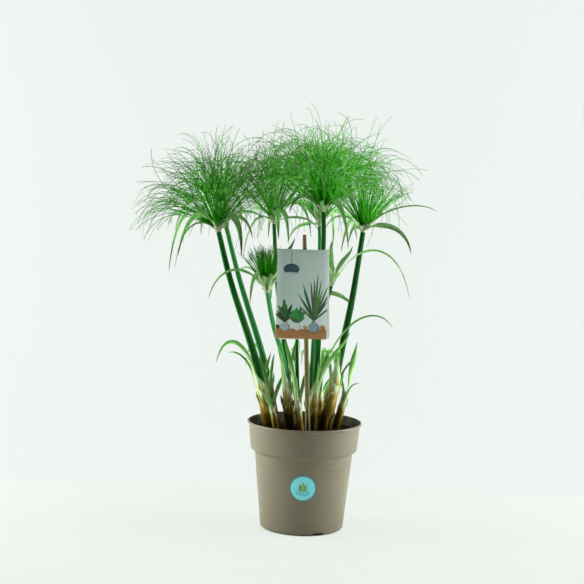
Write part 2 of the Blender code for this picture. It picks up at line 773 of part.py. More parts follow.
def make_sticker(finish, collection, cutters):
    """A round sticker that follows the pot's curved front: a patch of a shell, cut to a disc."""
    reach = STICKER_RADIUS + STICKER_MARGIN
    low, high = STICKER_HEIGHT - reach, STICKER_HEIGHT + reach
    arc = STICKER_ARC_SHARE * STICKER_RADIUS / body_radius(STICKER_HEIGHT)
    bm = bmesh.new()
    seam = [bm.verts.new((body_radius(height) + GAP, 0.0, height)) for height in (high, low)]
    edge = bm.edges.new(seam)
    bmesh.ops.spin(
        bm, geom=[*seam, edge], cent=(0, 0, 0), axis=UP, angle=arc, steps=STICKER_STEPS,
    )
    spread = bm.faces[:]
    bmesh.ops.recalc_face_normals(bm, faces=spread)
    if spread[0].normal.x < 0:
        bmesh.ops.reverse_faces(bm, faces=spread)
    bmesh.ops.solidify(bm, geom=spread, thickness=-STICKER_THICKNESS)
    bmesh.ops.rotate(bm, verts=bm.verts, matrix=Matrix.Rotation(-math.pi / 2 - arc / 2, 3, "Z"))
    sticker = mesh_object("sticker", bm, finish, collection)
    disc = bmesh.new()
    front = Matrix.Translation((0, -RIM_RADIUS, STICKER_HEIGHT)) @ Matrix.Rotation(math.pi / 2, 4, "X")
    bmesh.ops.create_cone(
        disc, cap_ends=True, segments=STICKER_SIDES, radius1=STICKER_RADIUS, radius2=STICKER_RADIUS,
        depth=RIM_RADIUS, matrix=front,
    )
    cut(sticker, mesh_object("sticker_outline", disc, finish, cutters), "INTERSECT")
    return sticker


def make_stick(finish, collection):
    """A flat wooden stick, pointed where it goes into the soil."""
    length = (STICK_TOP - STICK_FOOT).length
    bm = bmesh.new()
    size = Matrix.Diagonal((STICK_WIDTH, STICK_THICKNESS, length, 1.0))
    bmesh.ops.create_cube(bm, size=1.0, matrix=Matrix.Translation((0, 0, length / 2)) @ size)
    for height in (STICK_POINT_LENGTH, length - STICK_TAPER_LENGTH):
        bmesh.ops.bisect_plane(
            bm, geom=bm.verts[:] + bm.edges[:] + bm.faces[:], plane_co=(0, 0, height), plane_no=(0, 0, 1),
        )
    for vert in bm.verts:
        if vert.co.z < END_BAND:
            vert.co.x *= STICK_POINT_SHARE
        elif vert.co.z > length - END_BAND:
            vert.co.x *= STICK_TAPER_SHARE
    bmesh.ops.transform(bm, matrix=leaning(STICK_TOP - STICK_FOOT, STICK_FOOT), verts=bm.verts)
    return mesh_object("stick", bm, finish, collection)


def make_card(name, shift, turn, finish, collection):
    """One panel of the care card, upright and facing the front."""
    data = bpy.data.curves.new(name, "CURVE")
    data.dimensions = "2D"
    data.fill_mode = "BOTH"
    data.extrude = CARD_THICKNESS / 2
    spline = data.splines.new("POLY")
    spline.points.add(3)
    corners = ((-1, -1), (1, -1), (1, 1), (-1, 1))
    for point, (across, over) in zip(spline.points, corners):
        point.co = (across * CARD_WIDTH / 2, over * CARD_HEIGHT / 2, 0.0, 1.0)
    spline.use_cyclic_u = True
    card = add_object(name, data, finish, collection)
    card.location = CARD_CENTRE + shift
    card.rotation_euler = (math.pi / 2, math.radians(turn), 0.0)
    return card


def stick_pocket(bm):
    """The narrow pocket that the stick has pushed into the soil."""
    along = (STICK_TOP - STICK_FOOT).normalized()
    foot = STICK_FOOT - along * STICK_POCKET_START
    length = (SOIL_TOP - foot.z) / along.z + STICK_POCKET_EXCESS
    width, thickness = STICK_WIDTH + STICK_POCKET_ROOM, STICK_THICKNESS + STICK_POCKET_ROOM
    size = Matrix.Diagonal((width, thickness, length, 1.0))
    place = leaning(along, foot) @ Matrix.Translation((0, 0, length / 2))
    bmesh.ops.create_cube(bm, size=1.0, matrix=place @ size)


def make_pockets(finish, collection):
    bm = bmesh.new()
    for shoot in SHOOTS:
        radius = shoot.foot_radius + SHEATH_CLEARANCE + SHEATH_WALL + 2 * GAP
        add_pocket(bm, stem_axis(shoot)[0], foot_direction(shoot), radius)
    for sprout in SPROUTS:
        add_pocket(bm, sprout_foot(sprout), sprout_direction(sprout), sprout.radius + 2 * GAP)
    stick_pocket(bm)
    return mesh_object("soil_pockets", bm, finish, collection)


def hull_of(obj):
    """A search tree of an object's finished mesh, in world space."""
    graph = bpy.context.evaluated_depsgraph_get()
    evaluated = obj.evaluated_get(graph)
    bm = bmesh.new()
    bm.from_mesh(evaluated.to_mesh())
    bm.transform(evaluated.matrix_world)
    tree = BVHTree.FromBMesh(bm)
    bm.free()
    evaluated.to_mesh_clear()
    return tree


def make_leaves_and_stems(finishes, plant):
    made = [make_sprout(sprout, finishes["leaf"], plant) for sprout in SPROUTS]
    for shoot in SHOOTS:
        made.append(make_stem(shoot, finishes["stem"], plant))
        made.append(make_sheath(shoot, finishes["sheath"], plant))
        made.append(make_bracts(shoot, finishes["leaf"], plant))
    return made


def like_size(one, other):
    return min(one.head, other.head) > LIKE_SIZE_SHARE * max(one.head, other.head)


def make_heads(made, finishes, plant):
    """The heads come last and the smallest first: their locks part round everything that is already there."""
    bpy.context.view_layer.update()
    hulls = [hull_of(obj) for obj in made]
    headed = sorted((shoot for shoot in SHOOTS if shoot.head), key=lambda shoot: shoot.head)
    for shoot in headed:
        crowd = [other for other in headed if other is not shoot and like_size(other, shoot)]
        others = [(Vector(other.axis[-1]), other.head) for other in crowd]
        head = make_head(shoot, others, hulls, finishes["ray"], plant)
        bpy.context.view_layer.update()
        hulls.append(hull_of(head))


def main():
    clear_scene()
    plant = bpy.data.collections.new("potted_papyrus")
    cutters = bpy.data.collections.new("cutters")
    bpy.context.scene.collection.children.link(plant)
    bpy.context.scene.collection.children.link(cutters)
    finishes = {
        "pot": material("taupe_plastic", (0.30, 0.28, 0.21), 0.50),
        "soil": material("potting_mix", (0.030, 0.022, 0.015), 0.95),
        "stem": material("stem_green", (0.035, 0.150, 0.030), 0.40),
        "sheath": material("sheath_olive", (0.240, 0.230, 0.080), 0.60),
        "leaf": material("leaf_green", (0.080, 0.240, 0.045), 0.50),
        "ray": material("ray_green", (0.060, 0.260, 0.030), 0.50),
        "card": material("card_blue_grey", (0.370, 0.450, 0.420), 0.45),
        "back_card": material("card_white", (0.700, 0.720, 0.690), 0.60),
        "stick": material("split_bamboo", (0.420, 0.350, 0.180), 0.60),
        "sticker": material("turquoise_label", (0.150, 0.560, 0.600), 0.40),
    }
    make_pot(finishes["pot"], plant, cutters)
    make_soil(finishes["soil"], plant, make_pockets(finishes["soil"], cutters))
    make_sticker(finishes["sticker"], plant, cutters)
    made = make_leaves_and_stems(finishes, plant)
    made.append(make_stick(finishes["stick"], plant))
    made.append(make_card("card_front", Vector(), 0.0, finishes["card"], plant))
    made.append(make_card("card_back", BACK_CARD_SHIFT, BACK_CARD_TURN, finishes["back_card"], plant))
    make_heads(made, finishes, plant)


main()
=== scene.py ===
"""Potted papyrus, dressed: fine stalks, unrolling sheaths, strap bracts, heads of rays and threads, crumbly
potting mix, a moulded pot, and a printed care card on a split stick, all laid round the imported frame.

Metres, +Z up, -Y to the front. Headings are degrees anticlockwise from +X, seen from above.
"""

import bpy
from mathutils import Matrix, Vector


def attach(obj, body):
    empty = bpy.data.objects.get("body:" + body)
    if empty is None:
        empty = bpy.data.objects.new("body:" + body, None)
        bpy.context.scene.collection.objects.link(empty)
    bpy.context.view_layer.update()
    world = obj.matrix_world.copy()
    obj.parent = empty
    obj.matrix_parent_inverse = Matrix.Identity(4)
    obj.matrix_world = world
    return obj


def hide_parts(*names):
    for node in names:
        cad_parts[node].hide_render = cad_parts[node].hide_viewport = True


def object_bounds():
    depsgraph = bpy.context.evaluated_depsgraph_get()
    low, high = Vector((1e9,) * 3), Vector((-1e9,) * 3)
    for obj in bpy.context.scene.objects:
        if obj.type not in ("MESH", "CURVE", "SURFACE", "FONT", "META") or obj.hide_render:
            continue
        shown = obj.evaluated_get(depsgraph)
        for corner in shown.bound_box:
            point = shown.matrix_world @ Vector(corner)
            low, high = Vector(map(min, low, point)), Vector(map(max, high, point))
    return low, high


bl_info = {
    "name": "Potted Papyrus",
    "version": (1, 0, 0),
    "blender": (4, 5, 0),
    "location": "View3D > Sidebar > Papyrus",
    "description": "Dresses the packed frame of a potted papyrus plant",
    "category": "Add Mesh",
}

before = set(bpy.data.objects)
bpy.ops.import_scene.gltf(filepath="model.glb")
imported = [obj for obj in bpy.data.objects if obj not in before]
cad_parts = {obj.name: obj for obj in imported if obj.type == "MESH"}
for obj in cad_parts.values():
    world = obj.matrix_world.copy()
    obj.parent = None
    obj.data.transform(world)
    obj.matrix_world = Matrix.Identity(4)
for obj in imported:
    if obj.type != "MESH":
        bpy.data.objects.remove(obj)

import math
import random
from collections import namedtuple

import bmesh
import bpy
import numpy as np
from bpy.props import FloatProperty, FloatVectorProperty, IntProperty, PointerProperty
from mathutils import Matrix, Vector, noise

CAD_LOW, CAD_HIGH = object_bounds()
BODY = "root"
UP = Vector((0.0, 0.0, 1.0))
FRONT = Vector((0.0, -1.0, 0.0))
MERGE_DISTANCE = 0.00001

# The pot, as the frame has it
RIM_RADIUS = 0.0950
POT_HEIGHT = 0.1780
COLLAR_TOP_RADIUS = 0.0918
COLLAR_FOOT_RADIUS = 0.0882
COLLAR_HEIGHT = 0.0470
BODY_TOP_RADIUS = 0.0815
BODY_FOOT_RADIUS = 0.0690
FOOT_RADIUS = 0.0655
WALL = 0.0018
LIP_ROUND = 0.0022
STEP_ROUND = 0.0025
FOOT_ROUND = 0.0050
RECESS_HEIGHT = 0.0050
RECESS_OUTER_RADIUS = 0.0590
RECESS_INNER_RADIUS = 0.0250
SLOT_HEADING = -66.0
SLOT_WIDTH = 0.0190
SLOT_HEIGHT = 0.0045
SLOT_COUNT = 3
DRAIN_RADIUS = 0.0045
DRAIN_RING_RADIUS = 0.0420
RING_DROPS = (0.0100, 0.0185)
RING_HEIGHT = 0.0016
STEP_HEIGHT = POT_HEIGHT - COLLAR_HEIGHT
POT_SEGMENTS = 160

# The soil, its crumbs and bark, and how deep a shoot stands in it
SOIL_TOP = 0.1630
SOIL_GAP = 0.0010
SOIL_SEGMENTS = 120
SOIL_RINGS = 34
SOIL_SEED = 7
CRUMB_LIMIT = 0.0060
CRUMB_LIFT = 0.0002
CHIP_SIZE = (0.0042, 0.0016, 0.0008)
CHIP_LIFT = 0.0008
POCKET_DEPTH = 0.0120
STANDING_DEPTH = POCKET_DEPTH - 0.0020
GAP = 0.0004

# The sticker, the stick and the card
STICKER_RADIUS = 0.0210
STICKER_HEIGHT = 0.0810
STICKER_THICKNESS = 0.0005
STICKER_SEGMENTS = 72
STICKER_RINGS = 9
STICK_FOOT = Vector((0.0086, -0.0620, 0.0950))
STICK_TOP = Vector((-0.0105, -0.0620, 0.4900))
STICK_WIDTH = 0.0076
STICK_THICKNESS = 0.0030
STICK_STEPS = 40
STICK_SECTION_POINTS = 32
CARD_WIDTH = 0.0820
CARD_HEIGHT = 0.1440
CARD_THICKNESS = 0.0010
CARD_CORNER = 0.0012
CARD_EDGE = 0.00018
CARD_ROWS = 12
CARD_COLUMNS = 8
CARD_BOW = 0.0007
CARD_CENTRE = Vector((-0.0115, -0.0642, 0.3945))
BACK_CARD_SHIFT = Vector((0.0028, 0.0044, -0.0010))
BACK_CARD_TURN = -2.2

# The stems and the whorls on them
STEM_STEPS = 44
STEM_SIDES = 24
WHORL_HEIGHT = 0.0034
WHORL_RADIUS = 0.0052
HUB_SEGMENTS = 20
CUP_BRACTS = 7
CUP_AGEING = 0.26

# The sheaths: each further leaf is a layer wider, and shorter by a share of the sheath
SHEATH_CLEARANCE = 0.0008
SCALE_CLEARANCE = 0.0008
SHEATH_LAYER = 0.0005
SHEATH_SHORTER = 0.16
SPROUT_SHORTER = 0.14
GOLDEN_TURN = 137.5

# A leaf's grid: its rows along the sheath and along the blade, and its columns across
SHEATH_STEPS = (12, 26)
SCALE_STEPS = (10, 12)
SHEATH_COLUMNS = 10
BRACT_STEPS = 26
BRACT_COLUMNS = 6

# How a leaf leaves its root and reaches its tip, and how much broader it is when flat than when folded
BLADE_RISE = 0.28
BLADE_FLIGHT = 0.85
BRACT_BREADTH = 1.45
BLADE_BREADTH = 1.08

# The heads: rays lie in a sunflower's spiral, closer at its heart, and droop by a share of their length
GOLDEN_ANGLE = math.pi * (3.0 - math.sqrt(5.0))
HEART_CROWDING = 1.45
HEAD_SEED = 11
STRAND_SIDES = 3
RAY_STEPS = 5
RAY_DROOP = 0.10
LONG_THREAD = 0.06
LONG_THREAD_STEPS = 14
SHORT_THREAD_STEPS = 8

# How far threads may reach past the frame's box, below and above it, and how longer ones are cut back
ROOM_BELOW = 0.012
ROOM_ABOVE = 0.016
SHORTENING = 0.82
SHORTENING_TRIES = 9

# Half the angle, in radians, that a leaf is rolled through
SHEATH_ROLL = 3.0
BLADE_ROLL = 0.42
BRACT_BASE_ROLL = 1.25
BRACT_ROLL = 0.40

# How far a leaf's margins are folded up from its midrib
BLADE_FOLD = 0.30
BRACT_FOLD = 0.25

# A strap leaf or bract: how far out its tip is, how high it arches, its tip's height, all from its root
Blade = namedtuple("Blade", "heading reach crown tip width")

# A shoot: its stem's paleness from 0 to 1, its axis from the soil's top up and its radii, then its sheath's
# length and blades, and its bracts
Shoot = namedtuple("Shoot", "name tone axis foot_radius top_radius sheath blades bracts")

# A young shoot without a stem: a rolled sheath with its blades
Sprout = namedtuple("Sprout", "name foot lean radius height blades")

# A head's make-up: its rays with their cone and size, the threads that each ray ends in, its tone, and the
# length of its cup of bracts
Head = namedtuple("Head", "rays cone ray ray_radius threads thread thread_radius fan curl weight tone cup")


def metres(value):
    """Millimetres in metres: one length, or rows of them."""
    return tuple(metres(part) for part in value) if isinstance(value, tuple) else value / 1000


def blades(rows):
    """Blades from rows of a heading, and of reach, crown, tip and width in millimetres."""
    return tuple(Blade(row[0], *metres(row[1:])) for row in rows)


# The shoots, in millimetres: stem radii at the foot and the top, and the sheath's length, follow the axis
SHOOTS = tuple(
    Shoot(name, tone, metres(axis), *metres(sizes), blades(low), blades(high))
    for name, tone, axis, sizes, low, high in (
        (
            "left_front", 0.4, ((-57, 0), (-82, -12, 272), (-126, -25, 401), (-150, -30, 489)),
            (7.9, 4.5, 88),
            ((205, 70, 61, 30, 7.6), (160, 50, 50, 53, 3.4)),
            (
                (172, 76, 30, -69, 6), (222, 74, 24, -40, 6.4), (197, 66, 8, -62, 2.4),
                (308, 62, 24, -37, 9), (30, 58, 22, -12, 5.6), (345, 72, 31, 20, 4.6), (148, 100, 30, 5, 3),
            ),
        ),
        (
            "left_back", 0.75, ((-49, 20), (-70, 32, 267), (-116, 52, 403), (-151, 70, 523)),
            (7, 3.6, 84),
            ((120, 60, 50, 10, 5),),
            ((60, 70, 20, -30, 6), (118, 80, 24, -52, 6.4), (178, 72, 12, -44, 5), (290, 46, 4, -46, 4.6)),
        ),
        (
            "middle", 0.5, ((-22, 25), (-37, 22, 292), (-53, 20, 401), (-61, 15, 503)),
            (4.8, 3.4, 66),
            ((70, 60, 70, 46, 5),),
            (
                (196, 46, 4, -62, 3.2), (282, 26, 20, -26, 8.4), (318, 28, 18, -34, 6.4),
                (15, 74, 8, -14, 2.8), (347, 60, 34, -22, 5.6), (95, 66, 20, -30, 6), (150, 50, 22, 4, 4.6),
            ),
        ),
        (
            "right_back", 0.7, ((9, 30), (11, 40, 305), (16, 55, 440), (15, 60, 499)),
            (5, 3.2, 60),
            ((112, 50, 60, 34, 5),),
            ((190, 48, -2, -28, 4.4), (135, 60, 34, 26, 7), (70, 76, 26, -40, 6.4), (20, 66, 22, -24, 5.6)),
        ),
        (
            "right_front", 0.3, ((14, 0), (18, -8, 311), (21, -20, 464), (19, -25, 527)),
            (5.5, 3.8, 78),
            ((354, 118, 110, 96, 4), (326, 54, 66, 104, 7.6)),
            (
                (322, 46, 10, -60, 6.4), (205, 58, 22, -6, 5), (265, 44, 12, -24, 4.4), (25, 62, 26, 4, 6),
                (150, 44, 30, 20, 5),
            ),
        ),
        (
            "far_right", 0.0, ((34, 5), (58, 0, 306), (72, -6, 390), (85, -10, 495)),
            (7.8, 4.4, 98),
            ((270, 18, 36, 12, 8), (20, 24, 28, 42, 3.4)),
            (
                (338, 78, 8, -34, 6.2), (8, 118, 41, 33, 2), (176, 60, 22, -8, 2.6), (55, 58, 40, 20, 4),
                (115, 70, 18, -40, 6), (240, 40, 10, -18, 4.6),
            ),
        ),
        (
            "short", 1.0, ((-24, -10), (-37, -22, 273), (-57, -30, 341), (-68, -35, 394)),
            (5.2, 4, 92),
            ((245, 30, 40, 56, 5),),
            (
                (182, 90, 32, -16, 3.4), (228, 38, 27, -18, 6.4), (275, 26, 22, 2, 11),
                (20, 42, 54, 86, 6.4), (150, 52, 34, 26, 2.6), (80, 50, 20, -24, 5.6),
            ),
        ),
        (
            "leafy", 0.4, ((30, 34), (15, 12, 304), (28, 0, 370), (36, -5, 405)),
            (4.4, 3.4, 66),
            ((60, 50, 60, 20, 5),),
            (
                (340, 130, 59, -14, 3), (28, 34, 40, 62, 6), (100, 14, 44, 70, 6.8), (300, 20, 16, 18, 6),
                (248, 22, 24, 30, 6.4), (85, 50, 24, -14, 5.6),
            ),
        ),
        (
            "spear", 0.4, ((-9, 44), (-14, 40, 240), (-17, 36, 306), (-19, 34, 376)),
            (3.6, 2.6, 58),
            ((110, 46, 64, 40, 4.6),),
            ((50, 18, 28, 44, 4.4), (170, 16, 34, 54, 5), (352, 92, 12, -14, 6.2)),
        ),
    )
)

# The young shoots, in millimetres: the sheath's radius and height follow the lean
SPROUTS = tuple(
    Sprout(name, metres(foot), lean, *metres(sizes), blades(rows))
    for name, foot, lean, sizes, rows in (
        (
            "left", (-46, -20), (-0.2, -0.04), (5.2, 50),
            ((150, 22, 50, 76, 6.4), (40, 18, 33, 50, 6), (235, 22, 22, 32, 4.4)),
        ),
        (
            "centre", (-6, -18), (-0.14, -0.05), (5.6, 60),
            ((170, 18, 62, 96, 7.4), (250, 16, 36, 56, 5.6), (60, 30, 46, 58, 5.6)),
        ),
        (
            "right", (52, 12), (0.24, -0.04), (6.4, 72),
            ((350, 9, 48, 77, 10.4), (130, 14, 24, 37, 4), (300, 34, 30, 36, 2.4)),
        ),
        (
            "back", (22, 58), (0.05, 0.22), (5.2, 50),
            ((80, 50, 70, 50, 6.4), (206, 20, 38, 56, 5), (320, 30, 42, 46, 5)),
        ),
    )
)

HEADS = {
    "left_front": Head(142, 59, 0.074, 0.00098, 3, 0.092, 0.00058, 24, 13, 17, 0.28, 0.014),
    "left_back": Head(50, 50, 0.072, 0.00080, 2, 0.084, 0.00060, 24, 15, 15, 0.30, 0.012),
    "middle": Head(84, 46, 0.080, 0.00085, 2, 0.100, 0.00062, 24, 15, 14, 0.60, 0.012),
    "right_back": Head(56, 50, 0.078, 0.00080, 2, 0.110, 0.00060, 24, 14, 14, 0.54, 0.034),
    "right_front": Head(134, 57, 0.080, 0.00100, 4, 0.114, 0.00061, 32, 15, 22, 0.84, 0.010),
    "far_right": Head(94, 47, 0.067, 0.00106, 2, 0.036, 0.00058, 16, 10, 8, 0.62, 0.012),
    "short": Head(116, 30, 0.059, 0.00108, 2, 0.016, 0.00044, 12, 8, 3, 0.24, 0.034),
}

# Bracts that stand up among a head's rays, each with its ageing: under 1 it stays paler
INNER_BRACTS = {
    name: tuple(zip(blades(rows), ageing)) for name, rows, ageing in (
        ("left_front", ((352, 60, 86, 140, 4.4),), (1.0,)),
        ("middle", ((285, 16, 32, 48, 8), (335, 34, 34, 42, 6.4)), (0.40, 0.55)),
        ("right_front", ((200, 50, 56, 70, 3.6),), (1.0,)),
        ("far_right", ((15, 30, 22, 30, 6.4),), (0.30,)),
        ("short", ((255, 14, 20, 26, 7),), (0.25,)),
    )
}

# The scale leaves round each stem's foot: where on the sheath each opens, its height, and its ageing
SCALE_LEAVES = ((0.86, 0.052, 1.0), (0.62, 0.040, 0.85), (0.42, 0.026, 0.5))

# The card's print. Its plants: root, leaves, reach, leaf width, spread in degrees and colour
CARD_PLANTS = (
    (0.020, 15, 0.074, 0.0034, 84, (70, 112, 62)),
    (-0.026, 11, 0.036, 0.0060, 110, (48, 96, 52)),
    (-0.006, 9, 0.027, 0.0074, 120, (62, 132, 66)),
)
# Its bowls: place, width, height and colour
CARD_POTS = (
    (-0.026, 0.016, 0.014, (176, 196, 200)), (-0.006, 0.012, 0.011, (224, 228, 222)),
    (0.020, 0.019, 0.016, (150, 176, 186)), (0.0345, 0.008, 0.008, (188, 128, 84)),
    (-0.0375, 0.006, 0.007, (86, 56, 40)), (0.0065, 0.006, 0.006, (196, 156, 104)),
)
# Its hanging lamp: a shade and the light under it, each with its height, size and colour
CARD_LAMP = ((0.040, (0.026, 0.018), (64, 92, 104)), (0.033, (0.022, 0.004), (196, 214, 214)))
CARD_LAMP_PLACE = -0.018
CARD_LEAF_FOOT = -0.046
CARD_BAND_TOP = -0.0556

# The sticker's sprig: each leaf's angle, length and colour
LABEL_LEAVES = (
    (58, 0.58, (86, 150, 62)), (122, 0.58, (70, 138, 58)), (90, 0.74, (112, 172, 76)),
    (28, 0.40, (96, 160, 70)), (152, 0.40, (84, 146, 60)),
)


def linear(*shades):
    """A colour given as 0 to 255 sRGB, in the linear values that Blender's sockets hold."""
    parts = [shade / 255.0 for shade in shades]
    return tuple(part / 12.92 if part <= 0.04045 else ((part + 0.055) / 1.055) ** 2.4 for part in parts)


def colour_property(name, description, *shades):
    return FloatVectorProperty(
        name=name, description=description, default=linear(*shades), subtype="COLOR", min=0.0, max=1.0,
    )


def length_property(name, description, default):
    return FloatProperty(name=name, description=description, default=default, min=0.0, unit="LENGTH")


class PapyrusPotSettings(bpy.types.PropertyGroup):
    plastic: colour_property("Plastic", "Colour of the moulded pot", 104, 98, 75)
    mix: colour_property("Potting mix", "Colour of the moist mix", 30, 20, 11)
    bark: colour_property("Bark", "Colour of the reddish bits in the mix", 110, 58, 34)
    ring: length_property("Ring", "How far the two moulded rings stand proud of the body", 0.00014)
    mound: length_property("Mound", "How far the mix rises to the middle", 0.0030)
    crumb: length_property("Crumb", "Size of a middling crumb", 0.0024)
    crumbs: IntProperty(name="Crumbs", description="Loose crumbs on the mix", default=2600, min=0)
    chips: IntProperty(name="Chips", description="Reddish bits on the mix", default=160, min=0)


class PapyrusPlantSettings(bpy.types.PropertyGroup):
    stem: colour_property("Stem", "Colour of the bare stems", 2, 86, 12)
    leaf: colour_property("Leaf", "Colour of the leaves", 112, 184, 84)
    bract: colour_property("Bract", "Colour of the bracts", 180, 220, 162)
    pale: colour_property("Pale green", "Colour of the sheaths' mouths and the bracts' bases", 208, 222, 184)
    dry: colour_property("Dry sheath", "Colour of the sheaths' middles", 172, 152, 58)
    foot: colour_property("Sheath foot", "Colour of the sheaths at the mix", 66, 48, 2)
    ray: colour_property("Ray", "Colour of the rays at a head's heart", 52, 190, 5)
    thread: colour_property("Thread", "Colour of the threads", 98, 200, 62)
    leaf_thickness: length_property("Leaf thickness", "Thickness of a strap leaf", 0.0004)


class PapyrusCardSettings(bpy.types.PropertyGroup):
    ground: colour_property("Ground", "Ground colour of the print", 224, 242, 238)
    paper: colour_property("Paper", "Colour of the card's edges and back", 214, 220, 212)
    band: colour_property("Band", "Colour of the print's wooden band", 190, 136, 76)
    bamboo: colour_property("Bamboo", "Colour of the split stick", 158, 152, 98)
    label: colour_property("Label", "Ground colour of the round sticker", 112, 216, 224)
    label_edge: colour_property("Label edge", "Colour of the sticker's edge and ripples", 40, 140, 160)


class PapyrusStageSettings(bpy.types.PropertyGroup):
    floor: colour_property("Floor", "Colour of the table", 231, 237, 231)
    wall: colour_property("Wall", "Colour of the backdrop", 237, 243, 239)
    distance: length_property("Backdrop distance", "How far the backdrop stands behind the pot", 0.29)
    side_light: FloatProperty(name="Side light", description="Power of each side light", default=26.0)
    top_light: FloatProperty(name="Top light", description="Power of the light above", default=12.0)


class Graph:
    """Adds nodes to a node tree and joins them."""

    def __init__(self, tree):
        self.tree = tree

    def node(self, kind, inputs=(), **settings):
        """A node of a kind, its settings, and its inputs by name or number: each a value or an output."""
        made = self.tree.nodes.new(kind)
        for name, value in settings.items():
            setattr(made, name, value)
        for key, value in dict(inputs).items():
            if isinstance(value, bpy.types.NodeSocket):
                self.tree.links.new(value, made.inputs[key])
            else:
                made.inputs[key].default_value = value
        return made

    def math(self, operation, *values):
        return self.node("ShaderNodeMath", enumerate(values), operation=operation).outputs[0]

    def times(self, one, other):
        return self.math("MULTIPLY", one, other)

    def plus(self, one, other):
        return self.math("ADD", one, other)

    def less(self, one, other):
        return self.math("SUBTRACT", one, other)

    def mix(self, share, first, second, blend="MIX"):
        """Two colours mixed: each a linear triple or an output."""
        first, second = opaque(first), opaque(second)
        made = self.node("ShaderNodeMix", {0: share, 6: first, 7: second}, data_type="RGBA", blend_type=blend)
        return made.outputs[2]

    def shaded(self, colour, lift):
        """A colour made darker or lighter by a value."""
        return self.mix(1.0, colour, self.joined(lift, lift, lift), "MULTIPLY")

    def noise(self, vector, scale, detail=3.0):
        inputs = {"Vector": vector, "Scale": scale, "Detail": detail, "Roughness": 0.55}
        return self.node("ShaderNodeTexNoise", inputs).outputs[0]

    def span(self, value, low, high, to_low=0.0, to_high=1.0):
        """A value's range mapped to another, held at its ends."""
        return self.node("ShaderNodeMapRange", enumerate((value, low, high, to_low, to_high))).outputs[0]

    def ramp(self, value, stops):
        """A colour ramp of (place, linear colour) stops."""
        made = self.node("ShaderNodeValToRGB", {0: value})
        points = made.color_ramp.elements
        while len(points) < len(stops):
            points.new(1.0)
        for point, (place, colour) in zip(points, stops):
            point.position = place
            point.color = opaque(colour)
        return made.outputs[0]

    def split(self, vector):
        return self.node("ShaderNodeSeparateXYZ", {0: vector}).outputs

    def joined(self, *values):
        return self.node("ShaderNodeCombineXYZ", enumerate(values)).outputs[0]

    def vector_math(self, operation, *vectors):
        return self.node("ShaderNodeVectorMath", enumerate(vectors), operation=operation).outputs["Value"]

    def place(self):
        return self.node("ShaderNodeTexCoord").outputs["Object"]

    def geometry(self, name):
        return self.node("ShaderNodeNewGeometry").outputs[name]

    def growth(self):
        return self.node("ShaderNodeAttribute", attribute_name="growth").outputs["Vector"]

    def mapped(self, vector, middle, size=(1.0, 1.0, 1.0), angle=0.0):
        """Coordinates about a middle, in units of a size, turned by some degrees from +X towards +Z."""
        inputs = {0: vector, 1: middle, 2: (0.0, -math.radians(angle), 0.0), 3: size}
        return self.node("ShaderNodeMapping", inputs, vector_type="TEXTURE").outputs[0]

    def group(self, name, **inputs):
        """A shared group's outputs, by name."""
        return self.node("ShaderNodeGroup", inputs, node_tree=shared_group(name)).outputs

    def blotches(self, scale, sharpness, vector=None):
        return self.group("soft blotches", Vector=vector or self.place(), Scale=scale, Sharpness=sharpness)

    def fibres(self, across, along, detail):
        """Noise drawn out along a stalk: its scale over the stalk's section, and its scale up the stalk."""
        section_x, section_y, _ = self.split(self.growth())
        level = self.split(self.place())[2]
        drawn = ((section_x, across), (section_y, across), (level, along))
        return self.noise(self.joined(*(self.times(*pair) for pair in drawn)), 1.0, detail)


class Finish(Graph):
    """A new material's graph, round its Principled BSDF."""

    def __init__(self, name):
        self.material = bpy.data.materials.new(name)
        self.material.use_nodes = True
        super().__init__(self.material.node_tree)
        self.shader = self.tree.nodes["Principled BSDF"]

    def closed(self, colour, roughness, height, depth, specular=0.5, through=0.0):
        """The material, with its shader joined up, and with a share of the light let through thin leaf."""
        normal = self.node("ShaderNodeBump", {"Height": height, "Distance": depth}).outputs[0]
        for name, value in (("Base Color", colour), ("Roughness", roughness), ("Normal", normal)):
            self.tree.links.new(value, self.shader.inputs[name])
        self.shader.inputs["Specular IOR Level"].default_value = specular
        if through:
            self.overlay(through, self.node("ShaderNodeBsdfTranslucent", {"Color": colour, "Normal": normal}))
        return self.material

    def overlay(self, share, shader):
        """Mixes a shader over what the surface shows so far."""
        surface = self.tree.nodes["Material Output"].inputs["Surface"]
        shown = surface.links[0].from_socket
        both = self.node("ShaderNodeMixShader", {0: share, 1: shown, 2: shader.outputs[0]})
        self.tree.links.new(both.outputs[0], surface)


def opaque(colour):
    """A linear triple with full alpha added; an output passes through."""
    return colour if isinstance(colour, bpy.types.NodeSocket) else (*colour[:3], 1.0)


def vein_values(graph, given):
    """Parallel veins along a leaf: a streaky shade and a ribbed height, from its growth attribute."""
    across, along, tone = graph.split(given["Growth"])
    spread = graph.times(across, 9.0)
    streaks = graph.noise(graph.joined(spread, graph.times(along, 5.0), graph.times(tone, 41.0)), 1.0)
    ribs = graph.math("SINE", graph.times(spread, 2.6))
    return streaks, graph.plus(graph.times(ribs, 0.5), streaks)


def blotch_values(graph, given):
    """Soft uneven patches over a surface, as wear, dust or uneven growth leave them."""
    broad = graph.noise(given["Vector"], given["Scale"], 4.0)
    half = graph.times(given["Sharpness"], 0.5)
    fine = graph.noise(given["Vector"], graph.times(given["Scale"], 22.0), 2.0)
    return graph.span(broad, graph.less(0.5, half), graph.plus(0.5, half)), fine


def leaf_values(graph, given):
    """A printed leaf's mask: 1 inside a pointed oval that runs from 0 to 1 along X, and its midrib."""
    along, _, across = graph.split(given["Vector"])
    inside = graph.times(along, graph.less(1.0, along))
    edge = graph.math("POWER", graph.times(graph.math("MAXIMUM", inside, 0.0), 4.0), 0.8)
    width = graph.math("ABSOLUTE", across)
    return graph.span(graph.less(edge, width), 0.0, 0.06), graph.span(width, 0.10, 0.18, 1.0, 0.0)


